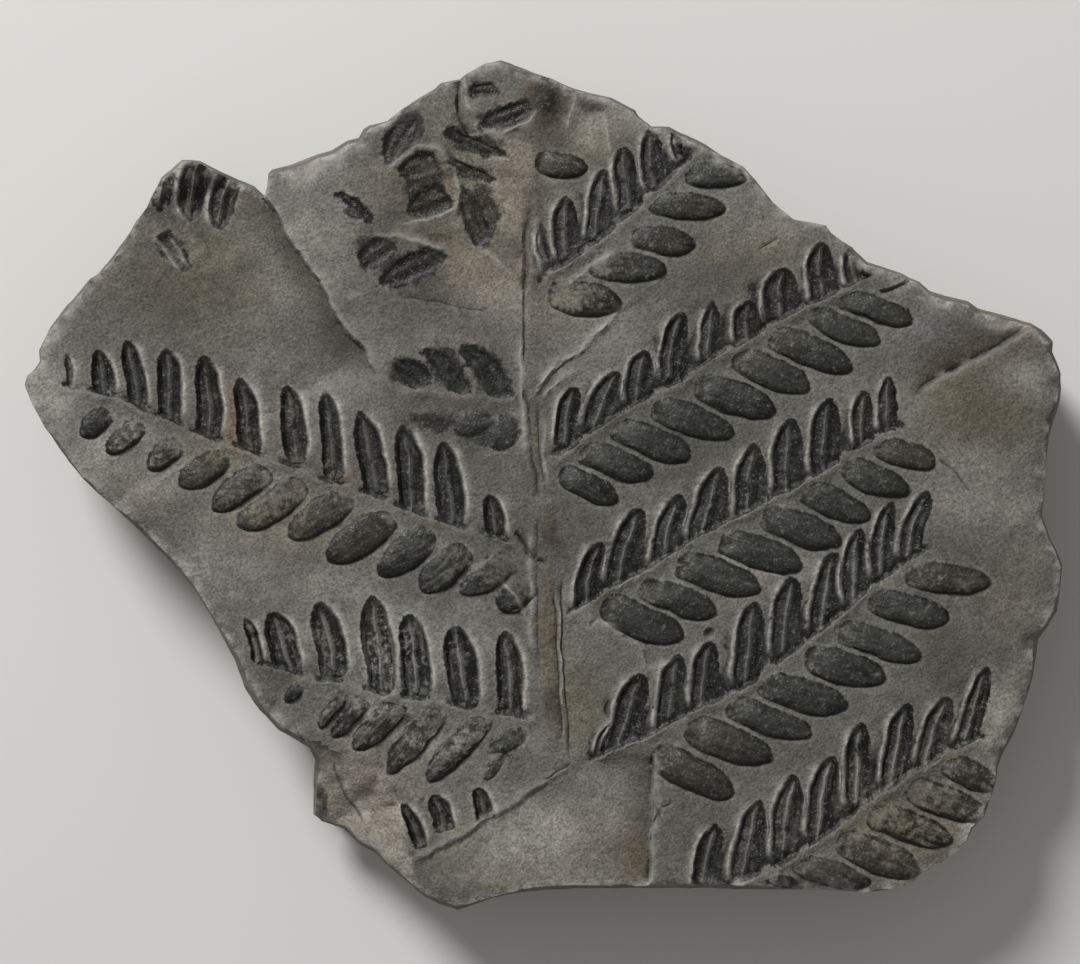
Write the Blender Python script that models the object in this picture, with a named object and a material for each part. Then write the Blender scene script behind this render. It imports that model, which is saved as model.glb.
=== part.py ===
"""Fossil fern plate: a broken slab of dark slate with a fern frond pressed into its face.

The slab is one closed solid. It lies on its flat underside at z = 0, with the frond looking up.
"""

import math
import random

import bmesh
import bpy
import numpy as np
from mathutils import Vector
from mathutils.geometry import delaunay_2d_cdt

MM = 0.001

# Driving dimensions, in millimetres.
FACE_HEIGHT = 12.0  # from the underside to the fossil face
FACE_SWELL = 0.22  # slow rise and fall of the split face
PILLOW_RISE = 0.50  # leaflets of the lower rows stand up
TROUGH_DEPTH = 0.45  # leaflets of the upper rows are hollow
MIDRIB_RISE = 0.28  # thin rib along the floor of a trough
MIDRIB_WIDTH = 0.28
RIM_RISE = 0.30  # lip along one side of a trough
RIM_WIDTH = 0.40
STALK_RISE = 0.22  # the stalk that carries two rows of leaflets
STALK_WIDTH = 0.55
STEM_RISE = 0.28
STEM_WIDTH = 0.95
BREAK_STEP = 0.25  # drop at the edge of the broad chipped corner
BREAK_SLOPE = 0.62  # its fall after that, per millimetre
BARE_SPACING = 3.8  # between points of the split face that no form needs
CLEARANCE = 1.0  # from such a point to the nearest modelled one
LEDGE_SPACING = 2.2  # longest straight run along a ledge
MERGE_DISTANCE = 0.21  # points closer than this become one
CROSSING_DISTANCE = 0.01  # an edge this close to a point runs through it

# Broken sides: part of the local height, and how far the side lies inside the outline.
SIDE_LAYERS = (
    (1.00, 0.45),
    (0.88, 0.00),
    (0.63, 0.22),
    (0.59, 0.85),
    (0.33, 0.50),
    (0.28, 1.30),
    (0.00, 1.75),
)
SIDE_SPACING = 3.4  # longest straight run along the broken edge
SIDE_WAVES = (3, 7, 13, 29)  # waves of unevenness round the slab
SIDE_UNEVENNESS = (0.12, 0.30)  # smallest and largest part that a wave adds
SIDE_LIMITS = (0.2, 1.9)  # smallest and largest part of an inset
SIDE_SEED = 20
CORNER_EASE = 6  # how often the directions at neighbouring points are evened out
FILL_SEED = 5

# Places on the face are in millimetres on a drawing sheet:
# x to the right from its left edge, y down from its top edge.
OUTLINE = (
    (2.1, 38.4), (2.3, 37.5), (3.0, 36.8), (3.5, 36.0), (3.4, 34.9), (4.1, 33.4), (4.4, 32.7),
    (5.2, 31.6), (6.3, 30.2), (7.5, 28.9), (8.5, 27.7), (9.4, 27.1), (10.0, 26.4), (11.0, 25.1),
    (12.6, 23.0), (13.2, 21.9), (14.4, 20.5), (14.9, 19.2), (15.8, 17.5), (17.2, 16.3),
    (17.9, 15.7), (19.0, 15.7), (19.8, 15.8), (21.0, 16.4), (23.8, 17.7), (25.1, 18.3),
    (26.2, 19.3), (26.5, 18.5), (26.6, 17.1), (27.0, 16.7), (28.0, 16.4), (30.1, 15.7),
    (31.5, 15.1), (33.0, 14.7), (34.5, 13.8), (35.7, 13.5), (36.2, 12.7), (36.8, 12.3),
    (38.6, 11.8), (40.3, 10.5), (41.8, 9.5), (43.4, 8.6), (44.0, 8.0), (45.9, 7.6), (47.0, 6.8),
    (48.5, 6.0), (50.0, 5.7), (51.1, 6.0), (53.5, 7.0), (55.2, 7.5), (57.3, 8.5), (59.0, 9.0),
    (61.2, 9.5), (63.6, 10.7), (63.9, 11.3), (65.2, 12.4), (66.1, 12.4), (67.0, 12.4),
    (68.9, 13.3), (70.7, 14.2), (73.1, 15.6), (74.5, 16.4), (75.7, 17.8), (77.5, 20.0),
    (79.6, 21.7), (81.7, 22.1), (82.7, 22.4), (83.3, 23.1), (84.6, 23.9), (85.5, 24.5),
    (87.0, 26.0), (90.5, 27.1), (92.3, 27.9), (93.3, 28.8), (94.9, 29.4), (97.1, 29.9),
    (98.2, 30.6), (101.1, 31.4), (103.5, 32.1), (104.6, 32.8), (105.7, 34.0), (105.7, 35.1),
    (106.6, 37.3), (106.7, 38.7), (106.5, 40.1), (105.4, 43.5), (105.0, 46.8), (104.9, 49.5),
    (104.6, 51.5), (105.4, 53.6), (106.2, 55.2), (106.6, 56.7), (106.4, 58.7), (106.1, 61.2),
    (105.1, 62.8), (104.3, 64.0), (103.7, 67.9), (103.2, 69.6), (101.8, 73.7), (100.9, 75.2),
    (100.2, 76.8), (99.9, 78.5), (98.8, 81.9), (97.6, 83.1), (97.0, 84.4), (96.1, 85.2),
    (92.8, 87.4), (91.3, 88.6), (89.3, 89.2), (87.0, 89.5), (84.3, 89.3), (65.0, 89.2),
    (54.6, 89.3), (51.8, 89.6), (49.1, 90.3), (47.0, 91.0), (45.7, 91.4), (43.8, 90.8),
    (42.4, 90.0), (41.0, 88.9), (38.5, 87.0), (37.1, 85.8), (35.7, 85.2), (33.9, 83.6),
    (31.6, 83.0), (30.8, 82.2), (31.0, 78.3), (31.2, 76.3), (30.7, 75.1), (29.1, 74.0),
    (27.6, 73.1), (25.7, 71.2), (24.2, 68.9), (23.3, 66.2), (20.6, 61.2), (19.1, 58.8),
    (17.0, 56.5), (12.7, 52.3), (9.7, 49.6), (7.9, 47.9), (6.4, 46.1), (3.9, 42.6), (2.7, 40.0),
)

# The stem runs down the frond, and the side stalks leave it to the right and to the left.
STEM = (
    (54.6, 7.4), (54.2, 11.0), (53.4, 15.0), (52.6, 20.0), (52.7, 26.0), (52.9, 33.0),
    (53.0, 40.0), (53.6, 45.0), (54.9, 50.0), (55.1, 55.0), (54.9, 62.0), (55.0, 70.0),
    (55.7, 76.4),
)
RIGHT_STALKS = (
    ((53.4, 30.0), (54.8, 27.8), (58.0, 25.8), (61.5, 23.2), (64.5, 20.5), (67.2, 18.0),
     (69.8, 15.6)),
    ((53.8, 46.8), (57.5, 44.9), (61.0, 42.2), (65.0, 40.0), (69.0, 37.8), (73.0, 35.0),
     (76.5, 33.2), (80.0, 31.2), (83.5, 29.5), (87.4, 27.9)),
    ((55.8, 62.2), (60.0, 59.8), (64.5, 57.2), (69.0, 54.5), (72.5, 52.5), (76.0, 50.8),
     (80.0, 48.7), (83.5, 46.8), (86.3, 44.8), (89.5, 43.2)),
    ((59.4, 76.2), (64.5, 74.0), (69.0, 71.8), (72.5, 70.0), (75.5, 68.4), (78.5, 66.2),
     (81.5, 63.8), (84.5, 61.4), (87.5, 59.0), (90.5, 56.8), (93.0, 55.0)),
    ((69.0, 89.4), (73.0, 88.9), (77.0, 87.4), (80.5, 85.4), (83.0, 83.6), (85.5, 81.8),
     (88.0, 79.6), (91.5, 77.7), (94.5, 76.0), (98.0, 74.0)),
)
LEFT_STALKS = (
    ((52.4, 40.1), (48.0, 39.9), (44.0, 39.6), (40.0, 39.1)),
    ((54.2, 56.6), (51.5, 54.6), (48.0, 53.4), (44.0, 52.4), (39.5, 50.8), (35.0, 49.1),
     (30.5, 47.6), (26.5, 46.0), (22.5, 44.5), (19.1, 43.3), (15.3, 41.6), (11.8, 40.2),
     (9.2, 39.4), (6.6, 38.7)),
    ((54.4, 72.4), (50.0, 71.9), (47.0, 71.2), (41.5, 70.3), (37.5, 69.4), (34.0, 68.6),
     (30.0, 67.8), (26.4, 66.6)),
)

# Leaflets, from the foot on the stalk to the tip: foot x, foot y, tip x, tip y, width.
# The width of a trough takes in its rim.
RIGHT_TROUGHS = (
    # first stalk
    (54.6, 26.4, 53.9, 22.8, 1.3), (56.6, 25.9, 56.4, 19.6, 2.7), (59.4, 24.1, 60.4, 16.8, 2.7),
    (62.9, 21.2, 62.2, 14.7, 2.8), (65.5, 19.0, 64.9, 12.9, 2.6), (68.0, 16.1, 67.3, 12.9, 1.5),
    # second stalk
    (56.3, 44.6, 57.3, 38.8, 2.9), (59.2, 43.1, 61.7, 37.2, 3.3), (63.6, 40.7, 64.5, 35.0, 3.0),
    (66.8, 38.1, 68.0, 31.2, 2.7), (70.8, 36.2, 71.0, 30.2, 2.2), (74.6, 34.3, 74.8, 30.2, 3.5),
    (77.9, 32.0, 78.3, 26.9, 3.8), (82.2, 30.3, 82.0, 24.1, 3.1), (85.7, 28.4, 84.9, 24.9, 2.4),
    # third stalk
    (58.2, 61.4, 59.9, 54.0, 3.0), (61.8, 58.9, 63.6, 50.8, 3.4), (66.0, 57.0, 67.7, 49.5, 3.2),
    (70.0, 54.6, 72.0, 46.7, 3.5), (74.5, 52.2, 75.4, 44.3, 3.2), (78.5, 50.0, 79.0, 42.0, 3.4),
    (82.2, 47.8, 82.8, 39.8, 3.2), (86.2, 44.6, 86.3, 39.0, 2.4), (88.8, 43.3, 88.7, 37.7, 2.2),
    # fourth stalk
    (59.8, 75.7, 61.0, 72.2, 1.6), (61.8, 75.0, 64.1, 67.3, 3.4), (66.7, 73.5, 67.7, 65.5, 3.2),
    (70.1, 71.2, 70.9, 64.2, 3.0), (74.3, 68.8, 75.5, 60.3, 3.2), (78.2, 66.1, 79.3, 57.5, 3.2),
    (82.0, 63.4, 83.2, 55.2, 3.0), (85.2, 60.7, 85.8, 53.0, 2.8), (87.8, 58.2, 89.0, 50.3, 2.6),
    (90.5, 56.2, 92.6, 49.0, 2.5),
    # fifth stalk
    (70.0, 89.2, 71.6, 82.5, 2.8), (74.0, 88.8, 75.8, 80.1, 3.2), (78.0, 86.4, 79.4, 77.6, 3.2),
    (81.7, 84.2, 83.0, 75.6, 3.2), (85.6, 81.2, 86.0, 72.2, 3.0), (89.0, 78.9, 90.7, 70.4, 3.0),
    (92.5, 77.0, 94.7, 69.5, 2.8), (96.2, 75.0, 98.8, 66.8, 2.6),
)
RIGHT_PILLOWS = (
    # first stalk, with a loose leaflet above it
    (53.4, 16.0, 58.9, 16.8, 2.6),
    (68.4, 17.4, 74.8, 17.7, 2.6), (64.8, 20.2, 72.6, 21.0, 2.8), (63.2, 23.6, 69.8, 24.6, 3.0),
    (58.8, 26.4, 66.7, 27.0, 3.2), (54.8, 29.4, 62.3, 30.3, 3.5),
    # second stalk
    (56.0, 47.1, 61.9, 50.1, 2.9), (57.8, 45.2, 65.3, 47.3, 3.3), (61.2, 42.8, 69.2, 45.6, 3.5),
    (65.3, 40.6, 73.4, 43.5, 3.4), (69.5, 38.5, 77.8, 41.2, 3.4), (73.3, 35.6, 81.2, 38.8, 3.4),
    (77.0, 33.6, 85.4, 36.8, 3.3), (80.8, 31.2, 88.1, 34.2, 3.1), (83.8, 29.9, 91.3, 32.0, 2.9),
    # third stalk
    (60.0, 60.3, 68.4, 63.9, 3.8), (64.0, 58.8, 71.8, 61.4, 3.3), (67.2, 56.3, 76.3, 59.0, 3.5),
    (71.8, 54.0, 80.4, 56.6, 3.4), (76.0, 51.5, 84.2, 54.4, 3.4), (80.0, 49.0, 87.1, 51.8, 3.1),
    (84.2, 46.6, 91.0, 49.3, 3.1), (87.5, 44.5, 93.8, 46.3, 2.8),
    # fourth stalk
    (65.2, 75.3, 73.5, 79.4, 3.6), (68.5, 72.6, 77.5, 76.0, 3.7), (72.7, 70.5, 81.2, 73.4, 3.4),
    (75.7, 68.3, 84.9, 70.7, 3.7), (80.6, 65.5, 88.7, 67.9, 3.5), (83.8, 63.0, 92.2, 65.7, 3.2),
    (86.8, 59.9, 95.0, 62.0, 3.1), (90.5, 57.5, 99.3, 58.3, 3.0),
    # fifth stalk
    (76.4, 87.7, 79.8, 88.4, 1.3), (79.2, 86.4, 87.2, 88.3, 2.7), (83.8, 83.9, 92.1, 87.3, 3.7),
    (86.8, 81.3, 95.4, 84.2, 3.4), (90.5, 78.6, 98.8, 81.7, 3.3), (94.3, 76.1, 99.8, 78.8, 2.9),
)
LEFT_TROUGHS = (
    # middle stalk
    (7.0, 39.0, 6.6, 35.5, 1.0), (10.4, 39.5, 9.8, 35.0, 2.5), (13.7, 40.7, 12.7, 34.0, 2.5),
    (17.0, 42.2, 16.6, 34.8, 2.8), (21.0, 43.7, 20.3, 35.5, 3.0), (25.2, 45.3, 24.0, 37.8, 2.8),
    (29.8, 46.4, 28.8, 38.6, 2.9), (33.7, 48.0, 32.6, 39.3, 2.6), (37.8, 49.6, 36.2, 41.1, 3.0),
    (41.5, 51.4, 40.5, 42.5, 3.2), (45.5, 52.5, 44.3, 44.1, 3.2), (50.0, 54.1, 49.0, 49.5, 2.6),
    # lower stalk
    (26.0, 66.3, 24.6, 61.7, 1.6), (29.2, 67.3, 27.2, 61.2, 3.3), (33.7, 67.8, 32.0, 60.3, 3.3),
    (38.4, 69.1, 37.2, 59.6, 3.5), (41.9, 69.8, 41.1, 61.4, 3.4), (46.8, 70.9, 45.5, 62.6, 3.5),
    (51.2, 71.7, 50.6, 63.0, 3.1),
    # leaflets whose stalk is broken away below
    (42.4, 84.8, 40.3, 80.3, 1.8), (44.6, 83.2, 43.3, 79.5, 2.6), (48.7, 82.2, 48.0, 78.9, 2.2),
    # leaflets of a lost frond on the far left corner
    (16.9, 16.4, 15.4, 20.8, 2.5), (19.5, 16.2, 18.6, 22.0, 3.2), (22.8, 17.4, 21.3, 22.6, 3.0),
)
LEFT_PILLOWS = (
    # middle stalk
    (10.8, 41.3, 7.8, 43.4, 2.4), (14.0, 42.3, 10.5, 45.2, 2.4), (17.8, 44.2, 14.5, 46.8, 2.6),
    (22.6, 45.5, 17.8, 48.7, 3.1), (26.8, 46.9, 21.2, 50.8, 3.2), (30.5, 48.4, 23.7, 52.6, 3.5),
    (35.2, 49.5, 28.6, 53.8, 3.3), (39.3, 51.7, 32.5, 55.9, 3.5), (43.2, 53.3, 37.7, 57.5, 3.4),
    (46.8, 54.8, 42.0, 59.0, 3.4), (51.5, 56.0, 45.8, 59.2, 3.3), (52.5, 58.3, 50.0, 61.1, 3.2),
    # lower stalk
    (30.0, 68.4, 28.5, 70.3, 1.4), (34.5, 69.2, 31.8, 72.8, 1.8), (36.6, 69.7, 33.3, 73.8, 2.2),
    (40.3, 70.0, 35.3, 74.9, 3.0), (44.2, 70.8, 38.6, 77.4, 2.8), (48.9, 71.4, 42.7, 78.2, 2.8),
)
# Torn leaflets with a weak relief, at the top of the frond and on the upper left stalk.
TORN_TROUGHS = (
    (49.7, 8.6, 46.6, 9.0, 1.5), (53.0, 10.4, 47.6, 12.5, 2.4), (41.0, 11.2, 38.5, 16.2, 2.3),
    (43.6, 15.8, 40.0, 17.2, 3.0), (44.8, 19.4, 40.8, 20.9, 3.3), (44.6, 12.9, 50.5, 15.7, 1.5),
    (44.9, 15.9, 49.3, 18.3, 1.4), (48.5, 24.4, 46.2, 18.8, 2.7), (33.9, 19.2, 37.0, 22.0, 1.3),
    (39.0, 24.0, 36.0, 26.4, 2.8), (44.0, 25.1, 38.0, 28.3, 2.8),
    (15.8, 23.4, 18.7, 27.0, 2.0),
    (42.8, 38.6, 39.6, 35.9, 2.9), (46.8, 39.4, 42.7, 34.7, 2.6), (51.0, 40.2, 46.6, 34.4, 3.0),
)
TORN_PILLOWS = (
    (49.0, 41.6, 45.4, 43.0, 2.6), (51.6, 41.8, 49.2, 44.8, 3.0), (52.3, 73.2, 48.8, 75.4, 1.9),
    (49.9, 75.6, 48.6, 78.0, 1.4),
)

# Ledges where one layer of the slate has come away: the low side is on the right-hand side of
# the line. Points, depth, width of the step and how far the low side takes to come level again.
LEDGES = (
    (((24.6, 15.2), (26.4, 19.3), (27.8, 21.2), (29.1, 23.6), (30.6, 26.0), (32.5, 28.6),
      (33.7, 31.5), (35.0, 33.4), (36.6, 34.9), (37.4, 36.6), (38.4, 39.6)), 0.95, 0.45, 26.0),
    (((106.5, 30.4), (103.2, 32.6), (100.9, 34.2), (98.8, 35.5), (96.9, 36.4), (95.2, 37.4),
      (93.1, 38.4), (91.4, 39.8)), 0.60, 0.30, 3.4),
    (((65.5, 75.2), (65.6, 78.8), (65.3, 82.0), (64.9, 91.0)), 0.50, 0.35, 20.0),
    (((64.9, 67.2), (64.1, 65.1), (63.5, 64.2), (62.2, 63.6), (61.4, 62.5), (58.6, 62.1)),
     0.30, 0.25, 3.5),
    (((41.0, 86.4), (47.5, 82.8), (54.0, 78.8), (55.3, 77.7), (57.0, 76.4)), 0.35, 0.40, 22.0),
    (((52.6, 40.2), (56.0, 36.2), (60.0, 33.0), (62.3, 30.7), (65.8, 28.3)), 0.18, 0.30, 6.0),
)
# Cracks: points, depth, half width.
CRACKS = (
    (((46.2, 6.4), (45.8, 9.0), (45.7, 10.5), (46.0, 12.0), (46.8, 13.0), (47.6, 13.3)), 0.45, 0.28),
    (((51.6, 53.2), (53.1, 55.2), (54.8, 56.8)), 0.50, 0.40),
    (((87.9, 29.2), (89.0, 28.9), (90.5, 28.4), (91.9, 27.8)), 0.45, 0.28),
)
# The broad chipped corner falls away on the right-hand side of this line.
CORNER_BREAK = (
    (18.0, 73.0), (28.0, 73.6), (30.4, 74.4), (34.5, 75.4), (38.5, 77.4), (39.9, 80.0),
    (40.8, 83.4), (41.1, 85.5), (41.8, 88.4), (43.6, 92.4),
)
# A round pit beside the fourth stalk.
PIT = (71.0, 63.4)
PIT_RADIUS = 0.62
PIT_DEPTH = 0.50
# Part of a line's length over which it comes up from nothing.
STALK_FADE = 0.05
LEDGE_RISE = 0.08
LEDGE_FADE = 0.2
CRACK_FADE = 0.1

# Forms of a leaflet: how blunt its outline is at its foot and its tip, how far its widest place
# lies towards the foot, how far its middle line bows, and how its height runs across and along it.
PILLOW_BLUNTNESS = (2.9, 1.9)
TROUGH_BLUNTNESS = (4.5, 1.9)
PILLOW_SKEW = 0.95
TROUGH_SKEW = 0.85
BOW = 0.22
DOME_POWER = 2.4
FOOT_PART = 0.35  # a pillow reaches its full height this far along
WALL_PART = 0.28  # a trough's walls take this part of its half width
TORN_RELIEF = 0.45  # relief of a torn leaflet, as a part of a whole one's
STALK_BAND = (0.12, 0.42)  # from a stalk's middle line to where its leaflets begin and are full
FOOT_REACH = (1.6, 2.0)  # leaflets further than this from a stalk aren't cut off by it
RING_POINTS = 12
INNER_RING_POINTS = 8
INNER_RING = 0.70
RIB_PARTS = (0.12, 0.5, 0.86)
RIM_PARTS = (0.2, 0.5, 0.78)
PIT_POINTS = 8


class Leaflet:
    """One leaflet: its middle line, its width, and its height above or below the face."""

    def __init__(self, row, hollow, rim_side, torn=False):
        foot_x, foot_y, tip_x, tip_y, width = row
        self.foot = np.array((foot_x, foot_y))
        reach = np.array((tip_x, tip_y)) - self.foot
        self.length = math.hypot(*reach)
        self.along = reach / self.length
        self.across = np.array((-self.along[1], self.along[0])) * rim_side
        self.hollow = hollow
        self.width = width - RIM_WIDTH if hollow else width
        self.shift = -0.5 * RIM_WIDTH if hollow else 0.0
        self.bow = BOW if hollow else 0.0
        self.bluntness = TROUGH_BLUNTNESS if hollow and not torn else PILLOW_BLUNTNESS
        self.relief = TORN_RELIEF if torn else 1.0
        self.skew = TROUGH_SKEW if hollow else PILLOW_SKEW

    def middle(self, part):
        """How far the middle line lies towards the rim at a part of the length."""
        return self.shift + self.bow * 4.0 * part * (1.0 - part)

    def power(self, part):
        """How blunt the outline is at a part of the length."""
        foot, tip = self.bluntness
        return foot + (tip - foot) * part

    def place(self, part, side):
        """The sheet place at a part of the length, and a distance towards the rim."""
        return self.foot + self.along * (part * self.length) + self.across * (self.middle(part) + side)

    def ring(self, scale, count):
        """Points round the leaflet at a scale of its outline."""
        points = []
        for number in range(count):
            turn = 2.0 * math.pi * number / count
            power = self.power(0.5 + 0.5 * math.cos(turn))
            ahead = math.copysign(abs(math.cos(turn)) ** (2.0 / power), math.cos(turn))
            aside = math.copysign(abs(math.sin(turn)) ** (2.0 / power), math.sin(turn))
            part = (0.5 + 0.5 * scale * ahead) ** (1.0 / self.skew)
            points.append(self.place(part, 0.5 * self.width * scale * aside))
        return points

    def rib(self):
        """Points along the middle line."""
        return [self.place(part, 0.0) for part in RIB_PARTS]

    def rim(self):
        """Points along the crest of the rim."""
        offset = 0.5 * (self.width + RIM_WIDTH)
        return [self.place(part, offset) for part in RIM_PARTS]

    def read(self, x, y):
        """Part of the length, distance towards the rim and scale of the outline at each place."""
        from_x = x - self.foot[0]
        from_y = y - self.foot[1]
        part = (from_x * self.along[0] + from_y * self.along[1]) / self.length
        inside = np.clip(part, 0.0, 1.0)
        side = from_x * self.across[0] + from_y * self.across[1] - self.middle(inside)
        ahead = 2.0 * inside ** self.skew - 1.0 + 2.0 * (part - inside)
        aside = 2.0 * side / self.width
        power = self.power(inside)
        scale = (abs(ahead) ** power + abs(aside) ** power) ** (1.0 / power)
        return part, side, scale

    def height(self, x, y):
        """Height that the leaflet adds to the face."""
        part, side, scale = self.read(x, y)
        if not self.hollow:
            dome = np.sqrt(np.clip(1.0 - scale ** DOME_POWER, 0.0, 1.0))
            return PILLOW_RISE * dome * smooth(part, 0.0, FOOT_PART) * self.relief
        floor = -TROUGH_DEPTH * smooth(1.0 - scale, 0.0, WALL_PART)
        midrib = MIDRIB_RISE * np.exp(-(side / MIDRIB_WIDTH) ** 2) * smooth(1.0 - scale, 0.0, WALL_PART)
        from_crest = 0.5 * ((scale - 1.0) * self.width - RIM_WIDTH)
        rim = RIM_RISE * np.exp(-(2.0 * from_crest / RIM_WIDTH) ** 2) * smooth(side, 0.0, RIM_WIDTH)
        return (floor + midrib + rim * end_fade(part, RIM_PARTS[0])) * self.relief


def smooth(value, low, high):
    """Zero below low, one above high and an even rise between."""
    share = np.clip((value - low) / (high - low), 0.0, 1.0)
    return share * share * (3.0 - 2.0 * share)


def make_leaflets():
    """All leaflets, with the rim of a trough on the side that faces the top of the frond."""
    leaflets = []
    for row in RIGHT_TROUGHS:
        leaflets.append(Leaflet(row, True, -1.0))
    for row in LEFT_TROUGHS:
        leaflets.append(Leaflet(row, True, 1.0))
    for row in TORN_TROUGHS:
        leaflets.append(Leaflet(row, True, 1.0, torn=True))
    for row in RIGHT_PILLOWS + LEFT_PILLOWS:
        leaflets.append(Leaflet(row, False, 1.0))
    for row in TORN_PILLOWS:
        leaflets.append(Leaflet(row, False, 1.0, torn=True))
    return leaflets


def line_reading(x, y, line):
    """Distance to a line, positive on its right-hand side, and the part of the line passed."""
    points = np.array(line)
    lengths = np.hypot(*(points[1:] - points[:-1]).T)
    starts = np.concatenate(((0.0,), np.cumsum(lengths)))
    best = np.full(x.shape, np.inf)
    signed = np.zeros(x.shape)
    passed = np.zeros(x.shape)
    for index, length in enumerate(lengths):
        ahead = (points[index + 1] - points[index]) / length
        from_x = x - points[index][0]
        from_y = y - points[index][1]
        run = np.clip(from_x * ahead[0] + from_y * ahead[1], 0.0, length)
        gap = np.hypot(from_x - run * ahead[0], from_y - run * ahead[1])
        side = ahead[0] * from_y - ahead[1] * from_x
        nearer = gap < best
        best = np.where(nearer, gap, best)
        signed = np.where(nearer, np.copysign(gap, side), signed)
        passed = np.where(nearer, (starts[index] + run) / starts[-1], passed)
    return signed, passed


def end_fade(passed, share):
    """One along a line, falling to zero over a share of its length at both of its ends."""
    return smooth(passed, 0.0, share) * smooth(1.0 - passed, 0.0, share)


def stalk_height(x, y, line, rise, width):
    """A rounded ridge along a line."""
    gap, passed = line_reading(x, y, line)
    return rise * np.exp(-(gap / width) ** 2) * end_fade(passed, STALK_FADE)


def stalk_side(x, y):
    """Distance to the nearest stalk, positive on the side of its hollow leaflets."""
    nearest = np.full(x.shape, np.inf)
    for lines, turn in ((RIGHT_STALKS, -1.0), (LEFT_STALKS, 1.0)):
        for line in lines:
            gap, _ = line_reading(x, y, line)
            nearest = np.where(abs(gap) < abs(nearest), turn * gap, nearest)
    return nearest


def leaf_share(side):
    """Share of its height that a leaflet keeps at a distance from a stalk, on its own side of it."""
    return np.maximum(smooth(side, *STALK_BAND), smooth(abs(side), *FOOT_REACH))


def ledge_height(x, y, line, depth, step, reach):
    """A step down on the right-hand side of a line, level again after its reach."""
    gap, passed = line_reading(x, y, line)
    fall = smooth(gap, 0.0, step) * np.exp(-(np.maximum(gap, 0.0) / reach) ** 2)
    return -depth * fall * smooth(passed, 0.0, LEDGE_RISE) * smooth(1.0 - passed, 0.0, LEDGE_FADE)


def crack_height(x, y, line, depth, half_width):
    """A thin groove along a line."""
    gap, passed = line_reading(x, y, line)
    return -depth * np.clip(1.0 - abs(gap) / half_width, 0.0, 1.0) * end_fade(passed, CRACK_FADE)


def face_height(x, y, leaflets):
    """Height of the fossil face over the underside."""
    broad = np.sin(x / 15.0 + 0.7) * np.cos(y / 12.0 + 0.4)
    narrow = 0.5 * np.sin(x / 7.3 - y / 9.1)
    height = FACE_HEIGHT + FACE_SWELL * (broad + narrow - 2.0)
    for line, depth, step, reach in LEDGES:
        height = height + ledge_height(x, y, line, depth, step, reach)
    stalks = np.zeros(x.shape)
    for line in RIGHT_STALKS + LEFT_STALKS:
        stalks = np.maximum(stalks, stalk_height(x, y, line, STALK_RISE, STALK_WIDTH))
    stalks = np.maximum(stalks, stalk_height(x, y, STEM, STEM_RISE, STEM_WIDTH))
    raised = np.zeros(x.shape)
    sunken = np.zeros(x.shape)
    for leaflet in leaflets:
        added = leaflet.height(x, y)
        raised = np.maximum(raised, added)
        sunken = np.minimum(sunken, added)
    side = stalk_side(x, y)
    height = height + np.maximum(stalks, raised * leaf_share(-side)) + sunken * leaf_share(side)
    for line, depth, half_width in CRACKS:
        height = height + crack_height(x, y, line, depth, half_width)
    pit_scale = np.hypot(x - PIT[0], y - PIT[1]) / PIT_RADIUS
    height = height - PIT_DEPTH * np.clip(1.0 - pit_scale ** 2, 0.0, 1.0)
    fall, _ = line_reading(x, y, CORNER_BREAK)
    broken = FACE_HEIGHT - BREAK_STEP - BREAK_SLOPE * fall
    return np.where(fall > 0.0, np.minimum(height, broken), height)


def divide(line, longest, closed):
    """The line with points added along its long runs."""
    ends = line[1:] + line[:1] if closed else line[1:]
    points = []
    for start, end in zip(line, ends):
        parts = max(1, math.ceil(math.dist(start, end) / longest))
        for number in range(parts):
            share = number / parts
            points.append((start[0] + (end[0] - start[0]) * share, start[1] + (end[1] - start[1]) * share))
    if not closed:
        points.append(line[-1])
    return np.array(points)


def inward_directions(points):
    """Directions into the slab at each point of a clockwise outline, eased where it turns sharply."""
    ahead = np.roll(points, -1, axis=0) - np.roll(points, 1, axis=0)
    ahead /= np.hypot(*ahead.T)[:, None]
    inward = np.stack((-ahead[:, 1], ahead[:, 0]), axis=1)
    for _ in range(CORNER_EASE):
        inward = 0.5 * inward + 0.25 * (np.roll(inward, 1, axis=0) + np.roll(inward, -1, axis=0))
    return inward


def uneven(count, seed):
    """A slowly changing factor round the outline, about one on average."""
    draw = random.Random(seed)
    values = np.ones(count)
    turn = np.linspace(0.0, 2.0 * math.pi, count, endpoint=False)
    for waves in SIDE_WAVES:
        values += draw.uniform(*SIDE_UNEVENNESS) * np.sin(waves * turn + draw.uniform(0.0, 2.0 * math.pi))
    return np.clip(values, *SIDE_LIMITS)


def offset_line(line, offset):
    """A line moved sideways, positive to its right-hand side."""
    points = np.array(line)
    ahead = np.gradient(points, axis=0)
    ahead /= np.hypot(*ahead.T)[:, None]
    return points + offset * np.stack((-ahead[:, 1], ahead[:, 0]), axis=1)


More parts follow.
